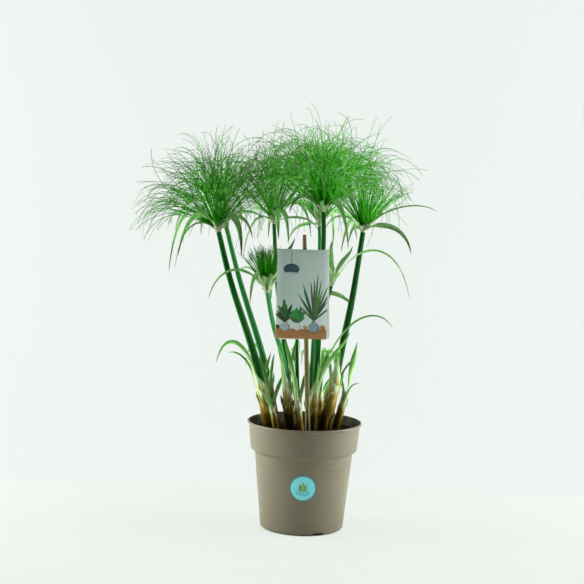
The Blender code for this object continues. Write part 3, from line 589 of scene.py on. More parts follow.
def disc_values(graph, given):
    """A printed disc's mask round the middle of its own coordinates, and the distance from there."""
    across, _, over = graph.split(given["Vector"])
    distance = graph.math("SQRT", graph.plus(graph.times(across, across), graph.times(over, over)))
    return graph.span(distance, 0.95, 1.0, 1.0, 0.0), distance


# The shared node groups: what fills each, its inputs with their defaults, and its outputs
GROUPS = {
    "parallel veins": (vein_values, {"Growth": None}, ("Shade", "Height")),
    "soft blotches": (blotch_values, {"Vector": None, "Scale": 30.0, "Sharpness": 0.3}, ("Mask", "Fine")),
    "printed leaf": (leaf_values, {"Vector": None}, ("Mask", "Midrib")),
    "printed disc": (disc_values, {"Vector": None}, ("Mask", "Distance")),
}


def shared_group(name):
    """The shader node group of a name, made when it is first asked for."""
    if name in bpy.data.node_groups:
        return bpy.data.node_groups[name]
    fill, inputs, outputs = GROUPS[name]
    tree = bpy.data.node_groups.new(name, "ShaderNodeTree")
    for label, default in inputs.items():
        kind = "NodeSocketVector" if default is None else "NodeSocketFloat"
        socket = tree.interface.new_socket(label, in_out="INPUT", socket_type=kind)
        if default is not None:
            socket.default_value = default
    for label in outputs:
        tree.interface.new_socket(label, in_out="OUTPUT", socket_type="NodeSocketFloat")
    given = tree.nodes.new("NodeGroupInput").outputs
    values = fill(Graph(tree), given)
    for value, socket in zip(values, tree.nodes.new("NodeGroupOutput").inputs):
        tree.links.new(value, socket)
    return tree


def material(name, make, *values):
    """The material of a name, made when it is first asked for."""
    return bpy.data.materials.get(name) or make(name, *values)


def leaf_material(name, stops, roughness, through, margin_and_highlight):
    """Strap leaf: colour from root to tip, streaked by its veins, each leaf with a shade of its own."""
    graph = Finish(name)
    growth = graph.growth()
    across, along, tone = graph.split(growth)
    veins = graph.group("parallel veins", Growth=growth)
    patches = graph.blotches(55.0, 0.5)
    wander = graph.times(graph.less(veins["Shade"], 0.5), 0.30)
    drift = graph.times(graph.less(patches["Mask"], 0.5), 0.06)
    base = graph.ramp(graph.plus(along, graph.plus(wander, drift)), stops)
    shade = graph.span(veins["Shade"], 0.3, 0.7, 0.72, 1.22)
    colour = graph.shaded(base, graph.times(shade, graph.span(tone, 0.0, 1.0, 0.70, 1.25)))
    aside = graph.math("ABSOLUTE", across)
    grown = graph.span(along, 0.20, 0.45)
    keel = graph.times(graph.span(aside, 0.0, 0.12, 0.30, 0.0), grown)
    colour = graph.mix(keel, colour, linear(160, 196, 120))
    # Pale margins, lightened further by a painted highlight from the side lights
    edge = graph.times(graph.span(aside, 0.80, 1.0, 0.0, margin_and_highlight), grown)
    colour = graph.mix(edge, colour, linear(196, 206, 150))
    rough = graph.span(patches["Fine"], 0.2, 0.8, roughness - 0.06, roughness + 0.08)
    return graph.closed(colour, rough, veins["Height"], 0.00012, specular=0.22, through=through)


def strand_material(name, stops, through):
    """Rays and threads: colour from root to tip, and a shade of its own for each strand."""
    graph = Finish(name)
    _, along, tone = graph.split(graph.growth())
    colour = graph.shaded(graph.ramp(along, stops), graph.span(tone, 0.0, 1.0, 0.42, 1.38))
    colour = graph.mix(graph.span(tone, 0.7, 1.0, 0.0, 0.30), colour, linear(136, 184, 96))
    speck = graph.noise(graph.place(), 260.0, 2.0)
    colour = graph.mix(graph.span(speck, 0.45, 0.75, 0.0, 0.15), colour, linear(120, 168, 50))
    rough = graph.span(speck, 0.2, 0.8, 0.45, 0.60)
    return graph.closed(colour, rough, speck, 0.00006, specular=0.08, through=through)


def stem_material(name, settings):
    """Bare stem: dark green with fine ridges, lighter at its foot, and pale all along if its tone is high."""
    graph = Finish(name)
    tone = graph.split(graph.growth())[2]
    level = graph.split(graph.place())[2]
    fibres = graph.fibres(11.0, 9.0, 3.0)
    patches = graph.blotches(26.0, 0.6)
    base = graph.mix(graph.span(level, 0.17, 0.28, 0.40, 0.0), settings.stem, linear(40, 120, 20))
    base = graph.mix(graph.span(patches["Mask"], 0.0, 1.0, 0.0, 0.15), base, linear(40, 116, 50))
    base = graph.mix(graph.span(tone, 0.5, 1.0, 0.0, 0.75), base, linear(62, 140, 80))
    lift = graph.times(graph.span(fibres, 0.3, 0.7, 0.74, 1.24), graph.span(tone, 0.0, 0.5, 0.60, 1.0))
    rough = graph.span(fibres, 0.3, 0.7, 0.32, 0.48)
    return graph.closed(graph.shaded(base, lift), rough, fibres, 0.00018, specular=0.10)


def plastic_material(name, settings):
    """Matt taupe plastic: a fine moulded grain, faint flow marks, painted shade over the inside and dust on
    the ledges.
    """
    graph = Finish(name)
    place = graph.place()
    place_x, place_y, _ = graph.split(place)
    marks = graph.blotches(24.0, 0.6, place)
    grain = graph.noise(place, 2600.0, 2.0)
    colour = graph.mix(graph.span(marks["Mask"], 0.0, 1.0, 0.0, 0.16), settings.plastic, linear(90, 84, 66))
    colour = graph.mix(graph.span(grain, 0.5, 0.8, 0.0, 0.20), colour, linear(146, 140, 118))
    normal = graph.geometry("Normal")
    outward = graph.vector_math("DOT_PRODUCT", normal, graph.joined(place_x, place_y))
    within = graph.span(outward, -0.03, 0.0, 1.0, 0.0)
    # Painted shade: the inside faces are darkened almost evenly, standing in for the shadow within the pot
    painted_inside_shade = graph.times(within, graph.span(marks["Mask"], 0.0, 1.0, 0.90, 1.0))
    colour = graph.mix(painted_inside_shade, colour, linear(45, 41, 19))
    dust = graph.times(graph.span(graph.split(normal)[2], 0.4, 1.0), graph.span(marks["Fine"], 0.45, 0.7))
    colour = graph.mix(graph.times(dust, 0.35), colour, linear(110, 94, 70))
    satin = graph.span(marks["Fine"], 0.2, 0.8, 0.40, 0.54)
    return graph.closed(colour, graph.plus(satin, graph.times(within, 0.4)), grain, 0.00008)


def mix_material(name, colour, other, scale):
    """Moist potting mix or its bark: dark, uneven and rough."""
    graph = Finish(name)
    lumps = graph.blotches(scale, 0.5)
    base = graph.mix(lumps["Mask"], colour, other)
    shaded = graph.shaded(base, graph.span(lumps["Fine"], 0.3, 0.75, 0.5, 1.5))
    rough = graph.span(lumps["Mask"], 0.0, 1.0, 0.70, 0.96)
    return graph.closed(shaded, rough, lumps["Fine"], 0.0010, specular=0.20)


def bamboo_material(name, settings):
    """Split bamboo: long fibres, darker in the groove and in the mix, and brown at the cut tip."""
    graph = Finish(name)
    level = graph.split(graph.place())[2]
    fibres = graph.fibres(3.2, 16.0, 4.0)
    colour = graph.mix(graph.span(fibres, 0.35, 0.7), linear(120, 112, 62), settings.bamboo)
    aside = graph.math("ABSOLUTE", graph.split(graph.growth())[0])
    colour = graph.mix(graph.span(aside, 0.5, 1.3, 0.62, 0.0), colour, linear(86, 74, 34))
    colour = graph.mix(graph.times(graph.span(level, 0.470, 0.486), 0.85), colour, linear(150, 108, 62))
    colour = graph.mix(graph.span(level, SOIL_TOP, 0.190, 0.5, 0.0), colour, linear(70, 54, 30))
    return graph.closed(colour, graph.span(fibres, 0.3, 0.7, 0.48, 0.68), fibres, 0.00015)


def paper_material(name, settings):
    """The card's plain back and edges: matt board with a faint fibre."""
    graph = Finish(name)
    fibre = graph.blotches(90.0, 0.6)
    faint = graph.span(fibre["Mask"], 0.0, 1.0, 0.0, 0.25)
    colour = graph.mix(faint, settings.paper, linear(196, 202, 190))
    return graph.closed(colour, graph.span(fibre["Fine"], 0.2, 0.8, 0.50, 0.64), fibre["Fine"], 0.00003)


def printed_leaf(graph, place, colour, root, angle, size, shade):
    """Lays one printed leaf over a colour: its root's place, its angle from +X, its length and width."""
    mapped = graph.mapped(place, (root[0], 0.0, root[1]), (size[0], 1.0, size[1] / 2), angle)
    leaf = graph.group("printed leaf", Vector=mapped)
    lighter = tuple(min(1.0, part * 1.9 + 0.03) for part in shade)
    tint = graph.mix(graph.times(leaf["Midrib"], 0.35), shade, lighter)
    return graph.mix(leaf["Mask"], colour, tint)


def printed_disc(graph, place, colour, middle, size, shade):
    """Lays one printed round or oval shape over a colour: its middle, its width and height."""
    mapped = graph.mapped(place, (middle[0], 0.0, middle[1]), (size[0] / 2, 1.0, size[1] / 2))
    return graph.mix(graph.group("printed disc", Vector=mapped)["Mask"], colour, shade)


def card_print_material(name, settings):
    """The care card's print: plants in bowls on a wooden band, and a hanging lamp, on a soft pale ground."""
    graph = Finish(name)
    place = graph.mapped(graph.place(), CARD_CENTRE)
    across, _, over = graph.split(place)
    clouds = graph.blotches(14.0, 0.9, place)
    ground = settings.ground
    colour = graph.mix(graph.span(over, -0.07, 0.07), ground, tuple(part * 0.93 for part in ground))
    colour = graph.mix(graph.span(across, -0.045, 0.03, 0.55, 0.0), colour, linear(164, 194, 180))
    colour = graph.mix(graph.times(clouds["Mask"], 0.14), colour, linear(208, 228, 222))
    colour = graph.mix(graph.span(over, -0.055, 0.0, 0.55, 0.0), colour, linear(232, 244, 246))
    aside = graph.math("ABSOLUTE", graph.less(across, CARD_LAMP_PLACE))
    cord = graph.times(graph.span(aside, 0.0003, 0.0006, 1.0, 0.0), graph.span(over, 0.045, 0.046))
    colour = graph.mix(cord, colour, linear(60, 66, 60))
    for level, size, shade in CARD_LAMP:
        colour = printed_disc(graph, place, colour, (CARD_LAMP_PLACE, level), size, linear(*shade))
    rng = random.Random("care card")
    for root, count, reach, slim, spread, shade in CARD_PLANTS:
        for step in range(count):
            share = step / (count - 1.0)
            angle = 90.0 + spread * (share - 0.5) + rng.uniform(-7, 7)
            length = reach * (0.65 + 0.35 * math.sin(math.pi * share)) * rng.uniform(0.8, 1.1)
            tint = linear(*(part * rng.uniform(0.65, 1.3) for part in shade))
            start = (root + (share - 0.5) * 0.008, CARD_LEAF_FOOT)
            colour = printed_leaf(graph, place, colour, start, angle, (length, slim), tint)
    planks = graph.node("ShaderNodeMapping", {0: place, 3: (30.0, 1.0, 900.0)}).outputs[0]
    grain = graph.span(graph.noise(planks, 1.0, 4.0), 0.3, 0.7)
    wood = graph.mix(grain, settings.band, linear(152, 102, 56))
    colour = graph.mix(graph.span(over, CARD_BAND_TOP - 0.0004, CARD_BAND_TOP, 1.0, 0.0), colour, wood)
    for pot, width, height, shade in CARD_POTS:
        shadow = tuple(part * 0.55 for part in linear(*shade))
        colour = printed_disc(graph, place, colour, (pot + 0.0006, -0.0535), (width, height), shadow)
        size = (width * 0.86, height * 0.9)
        colour = printed_disc(graph, place, colour, (pot - 0.0008, -0.0528), size, linear(*shade))
    return graph.closed(colour, graph.span(clouds["Fine"], 0.2, 0.8, 0.34, 0.44), clouds["Fine"], 0.00002)


def label_material(name, settings):
    """The round sticker's print: a turquoise disc with a darker edge, a sprig, and ripples under it."""
    graph = Finish(name)
    place = graph.mapped(graph.place(), (0.0, 0.0, STICKER_HEIGHT), (STICKER_RADIUS, 1.0, STICKER_RADIUS))
    distance = graph.group("printed disc", Vector=place)["Distance"]
    tint = graph.blotches(3.0, 0.9, place)
    colour = graph.mix(graph.times(tint["Mask"], 0.15), settings.label, linear(130, 214, 216))
    ripple_place = graph.mapped(place, (0.0, 0.0, -0.36), (1.0, 1.0, 0.42))
    ripple = graph.group("printed disc", Vector=ripple_place)["Distance"]
    wave = graph.math("SINE", graph.times(ripple, 30.0))
    near = graph.span(ripple, 0.60, 0.66, 1.0, 0.0)
    colour = graph.mix(graph.times(graph.span(wave, 0.25, 0.55), near), colour, settings.label_edge)
    for angle, length, shade in LABEL_LEAVES:
        colour = printed_leaf(graph, place, colour, (0.0, -0.20), angle, (length, 0.24), linear(*shade))
    colour = graph.mix(graph.span(distance, 0.925, 0.935), colour, settings.label_edge)
    return graph.closed(colour, graph.span(tint["Fine"], 0.2, 0.8, 0.30, 0.40), tint["Fine"], 0.00002)


def stage_material(name, colour, evenness, one_sided):
    """Floor or backdrop: matt. To the camera it is mostly its own even tone, but really shaded under the pot.

    A one-sided sheet shows only from its front, so that it hides nothing from behind.
    """
    graph = Finish(name)
    mottle = graph.noise(graph.place(), 1.3, 2.0)
    tint = graph.mix(graph.span(mottle, 0.3, 0.7, 0.0, 0.5), colour, tuple(part * 0.985 for part in colour))
    graph.tree.links.new(tint, graph.shader.inputs["Base Color"])
    graph.shader.inputs["Roughness"].default_value = 0.9
    seen = graph.node("ShaderNodeLightPath").outputs["Is Camera Ray"]
    place_x, place_y, _ = graph.split(graph.place())
    reach = graph.vector_math("LENGTH", graph.joined(place_x, place_y))
    outside = graph.span(reach, FOOT_RADIUS, BODY_FOOT_RADIUS + 0.003, 0.0, evenness)
    even = graph.node("ShaderNodeEmission", {"Color": tint, "Strength": 1.0})
    graph.overlay(graph.times(seen, outside), even)
    if one_sided:
        graph.overlay(graph.geometry("Backfacing"), graph.node("ShaderNodeBsdfTransparent"))
    return graph.material


def linked(made):
    """The object, put in the scene."""
    bpy.context.scene.collection.objects.link(made)
    return made


def add_piece(name, mesh, finishes, nodes=(), smooth=40.0):
    """Makes a mesh a piece of the object: smooth, finished, and riding on the frame."""
    made = linked(bpy.data.objects.new(name, mesh))
    for finish in finishes:
        mesh.materials.append(finish)
    mesh.shade_smooth()
    mesh.set_sharp_from_angle(angle=math.radians(smooth))
    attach(made, BODY)
    if nodes:
        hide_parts(*nodes)
    return made


def add_leaf_piece(name, bm, finish, node, thickness):
    """Makes a bmesh of leaves a piece of the object, each leaf a closed thin shell."""
    made = add_piece(name, mesh_of(name, bm, outward=False), [finish], [node], smooth=60.0)
    shell = made.modifiers.new("thickness", "SOLIDIFY")
    shell.thickness = thickness
    shell.offset = 0.0


def mesh_of(name, bm, outward=True):
    """A bmesh as a new mesh, with its faces turned outwards."""
    if outward:
        bmesh.ops.recalc_face_normals(bm, faces=bm.faces)
    mesh = bpy.data.meshes.new(name)
    bm.to_mesh(mesh)
    bm.free()
    return mesh


def growing_bmesh():
    """A bmesh whose points carry the growth attribute: across or round, along, and a shade of their own."""
    bm = bmesh.new()
    bm.verts.layers.float_vector.new("growth")
    return bm


def bevel(bm, edges, offset, segments):
    bmesh.ops.bevel(
        bm, geom=edges, offset=offset, segments=segments, profile=0.5, affect="EDGES", material=-1,
    )


def leaning(direction, place):
    """A matrix that stands +Z along direction at place."""
    turn = UP.rotation_difference(Vector(direction).normalized()).to_matrix().to_4x4()
    return Matrix.Translation(place) @ turn


def unit(vectors):
    return vectors / np.linalg.norm(vectors, axis=-1, keepdims=True)


def smooth_share(value, low, high):
    """0 below low, 1 above high, and a soft step between."""
    share = np.clip((value - low) / (high - low), 0.0, 1.0)
    return share * share * (3.0 - 2.0 * share)


def outwards(heading):
    """The level direction of a heading in degrees."""
    angle = math.radians(heading)
    return Vector((math.cos(angle), math.sin(angle), 0.0))


def sideways_of(heading):
    """The level direction to the left of a heading in degrees."""
    angle = math.radians(heading)
    return np.array((-math.sin(angle), math.cos(angle), 0.0))


def arc(middle_radius, middle_height, size, start, end, steps):
    """Points of (radius, height) round a middle, from one angle to another, in degrees from outwards."""
    points = []
    for index in range(steps + 1):
        angle = math.radians(start + (end - start) * index / steps)
        points.append((middle_radius + size * math.cos(angle), middle_height + size * math.sin(angle)))
    return points


def body_radius(height):
    """Outer radius of the pot's tapered body."""
    share = (height - FOOT_ROUND) / (STEP_HEIGHT - FOOT_ROUND)
    return BODY_FOOT_RADIUS + share * (BODY_TOP_RADIUS - BODY_FOOT_RADIUS)


def ring_bead(height, proud):
    """A low moulded ring round the body, as points down its outside."""
    points = []
    for index in range(7):
        share = index / 6.0
        level = height + RING_HEIGHT * (0.5 - share)
        points.append((body_radius(level) + proud * math.sin(math.pi * share), level))
    return points


def pot_outline(ring):
    """The pot's whole outline: up its inside, over the lip, down its outside and under its foot."""
    floor = RECESS_HEIGHT + WALL
    slope = -math.degrees((COLLAR_TOP_RADIUS - COLLAR_FOOT_RADIUS) / COLLAR_HEIGHT)
    inside = [
        (0.0, WALL),
        (RECESS_INNER_RADIUS - 0.0030, WALL),
        (RECESS_INNER_RADIUS, floor),
        (body_radius(floor) - WALL - 0.0010, floor),
        (BODY_TOP_RADIUS - WALL, STEP_HEIGHT - 0.0040),
        (BODY_TOP_RADIUS - WALL, STEP_HEIGHT + 0.0005),
        (COLLAR_FOOT_RADIUS - WALL, STEP_HEIGHT + STEP_ROUND + WALL),
        (COLLAR_TOP_RADIUS - WALL, POT_HEIGHT - 0.0040),
    ]
    lip = arc(RIM_RADIUS - LIP_ROUND, POT_HEIGHT - LIP_ROUND, LIP_ROUND, 118, -62, 12)
    under_lip = [(COLLAR_TOP_RADIUS, POT_HEIGHT - 0.0048)]
    shoulder = arc(COLLAR_FOOT_RADIUS - STEP_ROUND, STEP_HEIGHT + STEP_ROUND, STEP_ROUND, slope, -90, 6)
    neck = [
        (BODY_TOP_RADIUS + 0.0012, STEP_HEIGHT - 0.0001),
        (BODY_TOP_RADIUS + 0.0004, STEP_HEIGHT - 0.0012),
        (BODY_TOP_RADIUS - 0.0002, STEP_HEIGHT - 0.0040),
    ]
    beads = [point for drop in RING_DROPS for point in ring_bead(STEP_HEIGHT - drop, ring)]
    wall = [(body_radius(level), level) for level in (0.085, 0.060, 0.035, 0.015)]
    foot = arc(BODY_FOOT_RADIUS - FOOT_ROUND, FOOT_ROUND, FOOT_ROUND, 0, -80, 6)
    underside = [
        (FOOT_RADIUS - 0.0010, 0.0),
        (RECESS_OUTER_RADIUS + 0.0010, 0.0),
        (RECESS_OUTER_RADIUS, RECESS_HEIGHT),
        (RECESS_INNER_RADIUS + WALL, RECESS_HEIGHT),
        (RECESS_INNER_RADIUS, 0.0),
        (0.0, 0.0),
    ]
    return inside + lip + under_lip + shoulder + neck + beads + wall + foot + underside


def spun(outline, steps):
    """A bmesh of revolution about Z, from an outline of (radius, height) that starts and ends on the axis."""
    bm = bmesh.new()
    points = [bm.verts.new((radius, 0.0, height)) for radius, height in outline]
    edges = [bm.edges.new(pair) for pair in zip(points, points[1:])]
    bmesh.ops.spin(
        bm, geom=points + edges, cent=(0, 0, 0), axis=UP, angle=math.tau, steps=steps, use_merge=True,
    )
    bmesh.ops.remove_doubles(bm, verts=bm.verts, dist=MERGE_DISTANCE)
    return bm


def cut_away(mesh, cutter):
    """The mesh less the cutter, as a new mesh; both are used up."""
    body = linked(bpy.data.objects.new("being_cut", mesh))
    tool = linked(bpy.data.objects.new("cutting", cutter))
    modifier = body.modifiers.new("cut", "BOOLEAN")
    modifier.operation = "DIFFERENCE"
    modifier.object = tool
    graph = bpy.context.evaluated_depsgraph_get()
    result = bpy.data.meshes.new_from_object(body.evaluated_get(graph))
    for made in (body, tool):
        bpy.data.objects.remove(made)
    return result


def drain_cutter():
    """Slots through the foot ring's edge, and round holes in the floor above the recess."""
    bm = bmesh.new()
    middle = (RECESS_OUTER_RADIUS + RIM_RADIUS) / 2
    for index in range(SLOT_COUNT):
        turn = Matrix.Rotation(math.radians(SLOT_HEADING) + math.tau * index / SLOT_COUNT, 4, "Z")
        size = Matrix.Diagonal((RIM_RADIUS - RECESS_OUTER_RADIUS + 0.004, SLOT_WIDTH, 2 * SLOT_HEIGHT, 1.0))
        box = bmesh.ops.create_cube(bm, size=1.0, matrix=turn @ Matrix.Translation((middle, 0, 0)) @ size)
        edges = {edge for vert in box["verts"] for edge in vert.link_edges}
        out = turn @ Vector((1, 0, 0))
        along = [e for e in edges if abs((e.verts[1].co - e.verts[0].co).normalized().dot(out)) > 0.9]
        bevel(bm, along, 0.0012, 3)
        bmesh.ops.create_cone(
            bm, cap_ends=True, segments=20, radius1=DRAIN_RADIUS, radius2=DRAIN_RADIUS,
            depth=4 * WALL, matrix=turn @ Matrix.Translation((DRAIN_RING_RADIUS, 0, RECESS_HEIGHT + WALL)),
        )
    return mesh_of("drain_cutter", bm)


def soil_height(x, y, mound):
    """How high the potting mix lies at a place: a low mound with lumps and hollows."""
    share = math.hypot(x, y) / COLLAR_FOOT_RADIUS
    lumps = noise.fractal(Vector((x, y, 0.0)) * 60.0, 0.8, 2.1, 4) * 0.0011
    return SOIL_TOP - 0.0006 + mound * (1.0 - share * share) * 0.5 + lumps


def make_soil_body(mound):
    """The potting mix as one body that fills the pot, with a lumpy top."""
    floor = RECESS_HEIGHT + WALL + GAP
    top_share = (SOIL_TOP - STEP_HEIGHT) / COLLAR_HEIGHT
    wall_radius = COLLAR_FOOT_RADIUS + top_share * (COLLAR_TOP_RADIUS - COLLAR_FOOT_RADIUS)
    top_radius = wall_radius - WALL - SOIL_GAP
    rings = [(top_radius * (index / SOIL_RINGS), SOIL_TOP) for index in range(SOIL_RINGS + 1)]
    sides = [
        (COLLAR_FOOT_RADIUS - WALL - SOIL_GAP, STEP_HEIGHT + STEP_ROUND + WALL + SOIL_GAP),
        (BODY_TOP_RADIUS - WALL - 0.0008, STEP_HEIGHT + 0.0015),
        (body_radius(floor) - WALL - 0.0020, floor),
        (0.0, floor),
    ]
    bm = spun(rings + sides, SOIL_SEGMENTS)
    for vert in bm.verts:
        if vert.co.z > SOIL_TOP - MERGE_DISTANCE:
            vert.co.z = soil_height(vert.co.x, vert.co.y, mound)
    return mesh_of("potting_mix", bm)


def scattered(name, bm, places, sizes, rng):
    """Many copies of a small bmesh joined in one mesh, each turned its own way, at its place and size."""
    bmesh.ops.triangulate(bm, faces=bm.faces)
    bm.verts.index_update()
    points = np.array([vert.co for vert in bm.verts])
    faces = np.array([[vert.index for vert in face.verts] for face in bm.faces])
    bm.free()
    count = len(places)
    sized = points[None] * sizes[:, None, :]
    moved = np.einsum("nij,npj->npi", random_turns(count, rng), sized) + places[:, None, :]
    offsets = np.arange(count)[:, None, None] * len(points)
    mesh = bpy.data.meshes.new(name)
    mesh.from_pydata(moved.reshape(-1, 3), [], (faces[None] + offsets).reshape(-1, 3).tolist())
    return mesh


def random_turns(count, rng):
    """Rotation matrices, each of an evenly random way round."""
    w, x, y, z = unit(rng.normal(size=(count, 4))).T
    return np.array((
        (1 - 2 * (y * y + z * z), 2 * (x * y - z * w), 2 * (x * z + y * w)),
        (2 * (x * y + z * w), 1 - 2 * (x * x + z * z), 2 * (y * z - x * w)),
        (2 * (x * z - y * w), 2 * (y * z + x * w), 1 - 2 * (x * x + y * y)),
    )).transpose(2, 0, 1)


def stem_axis(shoot):
    """The stem's axis, from its foot in a pocket under the soil's top to its upper end."""
    bends = [Vector((*shoot.axis[0], SOIL_TOP)), *map(Vector, shoot.axis[1:])]
    bends[0] -= (bends[1] - bends[0]).normalized() * STANDING_DEPTH
    return bends


def smooth_line(points, count):
    """Evenly spread points on a smooth curve through the given ones."""
    knots = [points[0] * 2 - points[1], *points, points[-1] * 2 - points[-2]]
    fine = []
    for index in range(1, len(knots) - 2):
        before, start, end, after = knots[index - 1:index + 3]
        for step in range(12):
            t = step / 12.0
            fine.append(0.5 * (
                2 * start + (end - before) * t + (2 * before - 5 * start + 4 * end - after) * t * t
                + (3 * start - before - 3 * end + after) * t ** 3
            ))
    fine.append(points[-1])
    lengths = [0.0]
    for one, other in zip(fine, fine[1:]):
        lengths.append(lengths[-1] + (other - one).length)
    wanted = np.linspace(0.0, lengths[-1], count)
    columns = [np.interp(wanted, lengths, [point[axis] for point in fine]) for axis in range(3)]
    return [Vector(point) for point in zip(*columns)]


def swept(bm, section, line, sizes, tone):
    """Extrudes a closed section along a line, at a size for each point, and closes both ends."""
    layer = bm.verts.layers.float_vector["growth"]
    ring = bmesh.ops.create_circle(bm, cap_ends=False, segments=len(section), radius=1.0)["verts"]
    for vert, (across, over) in zip(ring, section):
        vert[layer] = (across, over, tone)
    edges = list({edge for vert in ring for edge in vert.link_edges})
    first = edges
    for index, (place, size) in enumerate(zip(line, sizes)):
        if index:
            grown = bmesh.ops.extrude_edge_only(bm, edges=edges)["geom"]
            ring = [item for item in grown if isinstance(item, bmesh.types.BMVert)]
            edges = [item for item in grown if isinstance(item, bmesh.types.BMEdge)]
        ahead = line[min(index + 1, len(line) - 1)] - line[max(index - 1, 0)]
        stand = leaning(ahead, place)
        for vert in ring:
            across, over, _ = vert[layer]
            vert.co = stand @ Vector((across * size, over * size, 0.0))
    for rim in (first, edges):
        bmesh.ops.contextual_create(bm, geom=rim)


def stem_section():
    """A sedge's blunt three-sided section, of unit size."""
    points = []
    for index in range(STEM_SIDES):
        angle = math.tau * index / STEM_SIDES
        size = 0.925 + 0.075 * math.cos(3 * angle)
        points.append((size * math.cos(angle), size * math.sin(angle)))
    return points


def blade_spine(start, blade, steps):
    """The midline of a strap leaf: it leaves its root upwards, arches over and ends at its tip."""
    out = np.array(outwards(blade.heading))
    lift = (blade.crown - blade.tip / 8) / 0.75
    t = np.linspace(0.0, 1.0, steps + 1)[:, None]
    along = 3 * BLADE_RISE * t * (1 - t) ** 2 + 3 * BLADE_FLIGHT * t * t * (1 - t) + t ** 3
    height = 3 * lift * t * (1 - t) + blade.tip * t ** 3
    return np.array(start) + out * blade.reach * along + np.array(UP) * height


def blade_share(t):
    """A leaf's width along its length, as a share of its widest."""
    return (0.55 + 0.45 * np.minimum(1.0, 3.5 * t)) * (1.0 - t ** 3) + 0.06


def leaf_frame(spine, heading):
    """Along a leaf's spine: its direction, the level way across it, and the way that its upper face looks."""
    level = sideways_of(heading)
    tangents = unit(np.gradient(spine, axis=0))
    side = unit(level - tangents * (tangents @ level)[:, None])
    return tangents, side, np.cross(tangents, side)


def add_leaf(bm, spine, heading, widths, rolls, fold, twist, along, tone, columns=BRACT_COLUMNS, slant=None):
    """One strap leaf: a grid laid along a spine, each row bent round to its own arc and folded at the midrib.

    With a slant, each row's margins hang that much lower than its midrib.
    """
    rows = len(spine) - 1
    layer = bm.verts.layers.float_vector["growth"]
    verts = bmesh.ops.create_grid(bm, x_segments=columns, y_segments=rows, size=0.5)["verts"]
    tangents, side, upper = leaf_frame(spine, heading)
    cosine, sine = np.cos(twist)[:, None], np.sin(twist)[:, None]
    side, upper = side * cosine + upper * sine, upper * cosine - side * sine
    for vert in verts:
        row = round((vert.co.y + 0.5) * rows)
        share = vert.co.x * 2.0
        roll = rolls[row]
        size = widths[row] / (2.0 * roll)
        sideways = size * math.sin(share * roll)
        rise = size * (1.0 - math.cos(share * roll)) + fold[row] * abs(share) * widths[row] / 2
        place = spine[row] + side[row] * sideways + upper[row] * rise
        if slant is not None:
            place = place - tangents[row] * slant[row] * abs(share) ** 1.5
        vert.co = Vector(place)
        vert[layer] = (share, along[row], tone)


def swayed(spine, heading, rng, amount):
    """A leaf's spine with a slight wander to the side, more towards its tip."""
    steps = np.linspace(0.0, 1.0, len(spine))
    wander = amount * steps ** 2 * np.sin(steps * rng.uniform(2.0, 5.0) + rng.uniform(0.0, math.tau))
    return spine + sideways_of(heading) * wander[:, None]


def shown_twist(spine, heading, share, rng):
    """How far a leaf is turned round its midline: most of the way to where its flat side faces the front."""
    tangents, side, upper = leaf_frame(spine, heading)
    front = np.array(FRONT)
    shown = unit(front - tangents * (tangents @ front)[:, None])
    turn = np.arctan2(-np.sum(side * shown, axis=1), np.sum(upper * shown, axis=1))
    turn = np.unwrap(2 * turn) / 2
    turn -= math.pi * round(float(turn[len(turn) // 2]) / math.pi)
    turn = turn * rng.uniform(0.55, 0.9) * smooth_share(share, 0.03, 0.42)
    return turn + rng.uniform(-0.3, 0.3) * share ** 2


def add_sheath_leaf(bm, foot, direction, radius, sheath, blade, rng, steps=SHEATH_STEPS, ageing=1.0):
    """A leaf that wraps its shoot as a sheath, opens at the mouth and runs on as a strap blade.

    Ageing under 1 keeps the leaf's colours to that share of the way from the dry foot to the green tip.
    """
    low_steps, high_steps = steps
    level = sideways_of(blade.heading)
    stem = np.array(direction)
    side = unit(level - stem * (stem @ level))
    inward = np.cross(stem, side)
    lengths = np.linspace(0.0, sheath, low_steps + 1)[:, None]
    lower = np.array(foot) + stem * lengths - inward * radius
    upper = blade_spine(lower[-1], blade, high_steps)
    upper = swayed(upper, blade.heading, rng, 0.003 + 0.02 * blade.reach)
    spine = np.vstack([lower, upper[1:]])
    for _ in range(3):
        spine[1:-1] = (spine[:-2] + 2 * spine[1:-1] + spine[2:]) / 4
    sheath_share = np.concatenate([np.linspace(0.0, 1.0, low_steps + 1), np.ones(high_steps)])
    blade_along = np.concatenate([np.zeros(low_steps), np.linspace(0.0, 1.0, high_steps + 1)])
    opening = smooth_share(sheath_share + blade_along * 6.0, 0.72, 1.7)
    rolls = SHEATH_ROLL + (BLADE_ROLL - SHEATH_ROLL) * opening
    tube = 2.0 * SHEATH_ROLL * radius
    breadth = BLADE_BREADTH * blade.width
    strap = np.maximum(breadth, 1.1 * radius)
    strap = strap + (breadth - strap) * smooth_share(blade_along, 0.0, 0.35)
    widths = tube + (strap * np.minimum(1.0, 1.06 - blade_along ** 3) - tube) * opening
    twist = shown_twist(spine, blade.heading, blade_along, rng)
    along = ageing * (0.5 * sheath_share + 0.5 * blade_along)
    slant = 0.20 * sheath * smooth_share(sheath_share, 0.35, 1.0)
    slant = slant * (1.0 - smooth_share(blade_along, 0.0, 0.4))
    add_leaf(
        bm, spine, blade.heading, widths, rolls, BLADE_FOLD * opening, twist, along, rng.uniform(0.3, 1.0),
        columns=SHEATH_COLUMNS, slant=slant,
    )


def scale_leaf(heading, length):
    """The pointed blade of a scale leaf, which stands up close to the shoot above its sheath's mouth."""
    return Blade(heading, 0.003 + 0.14 * length, 0.62 * length, length, 0.0046)


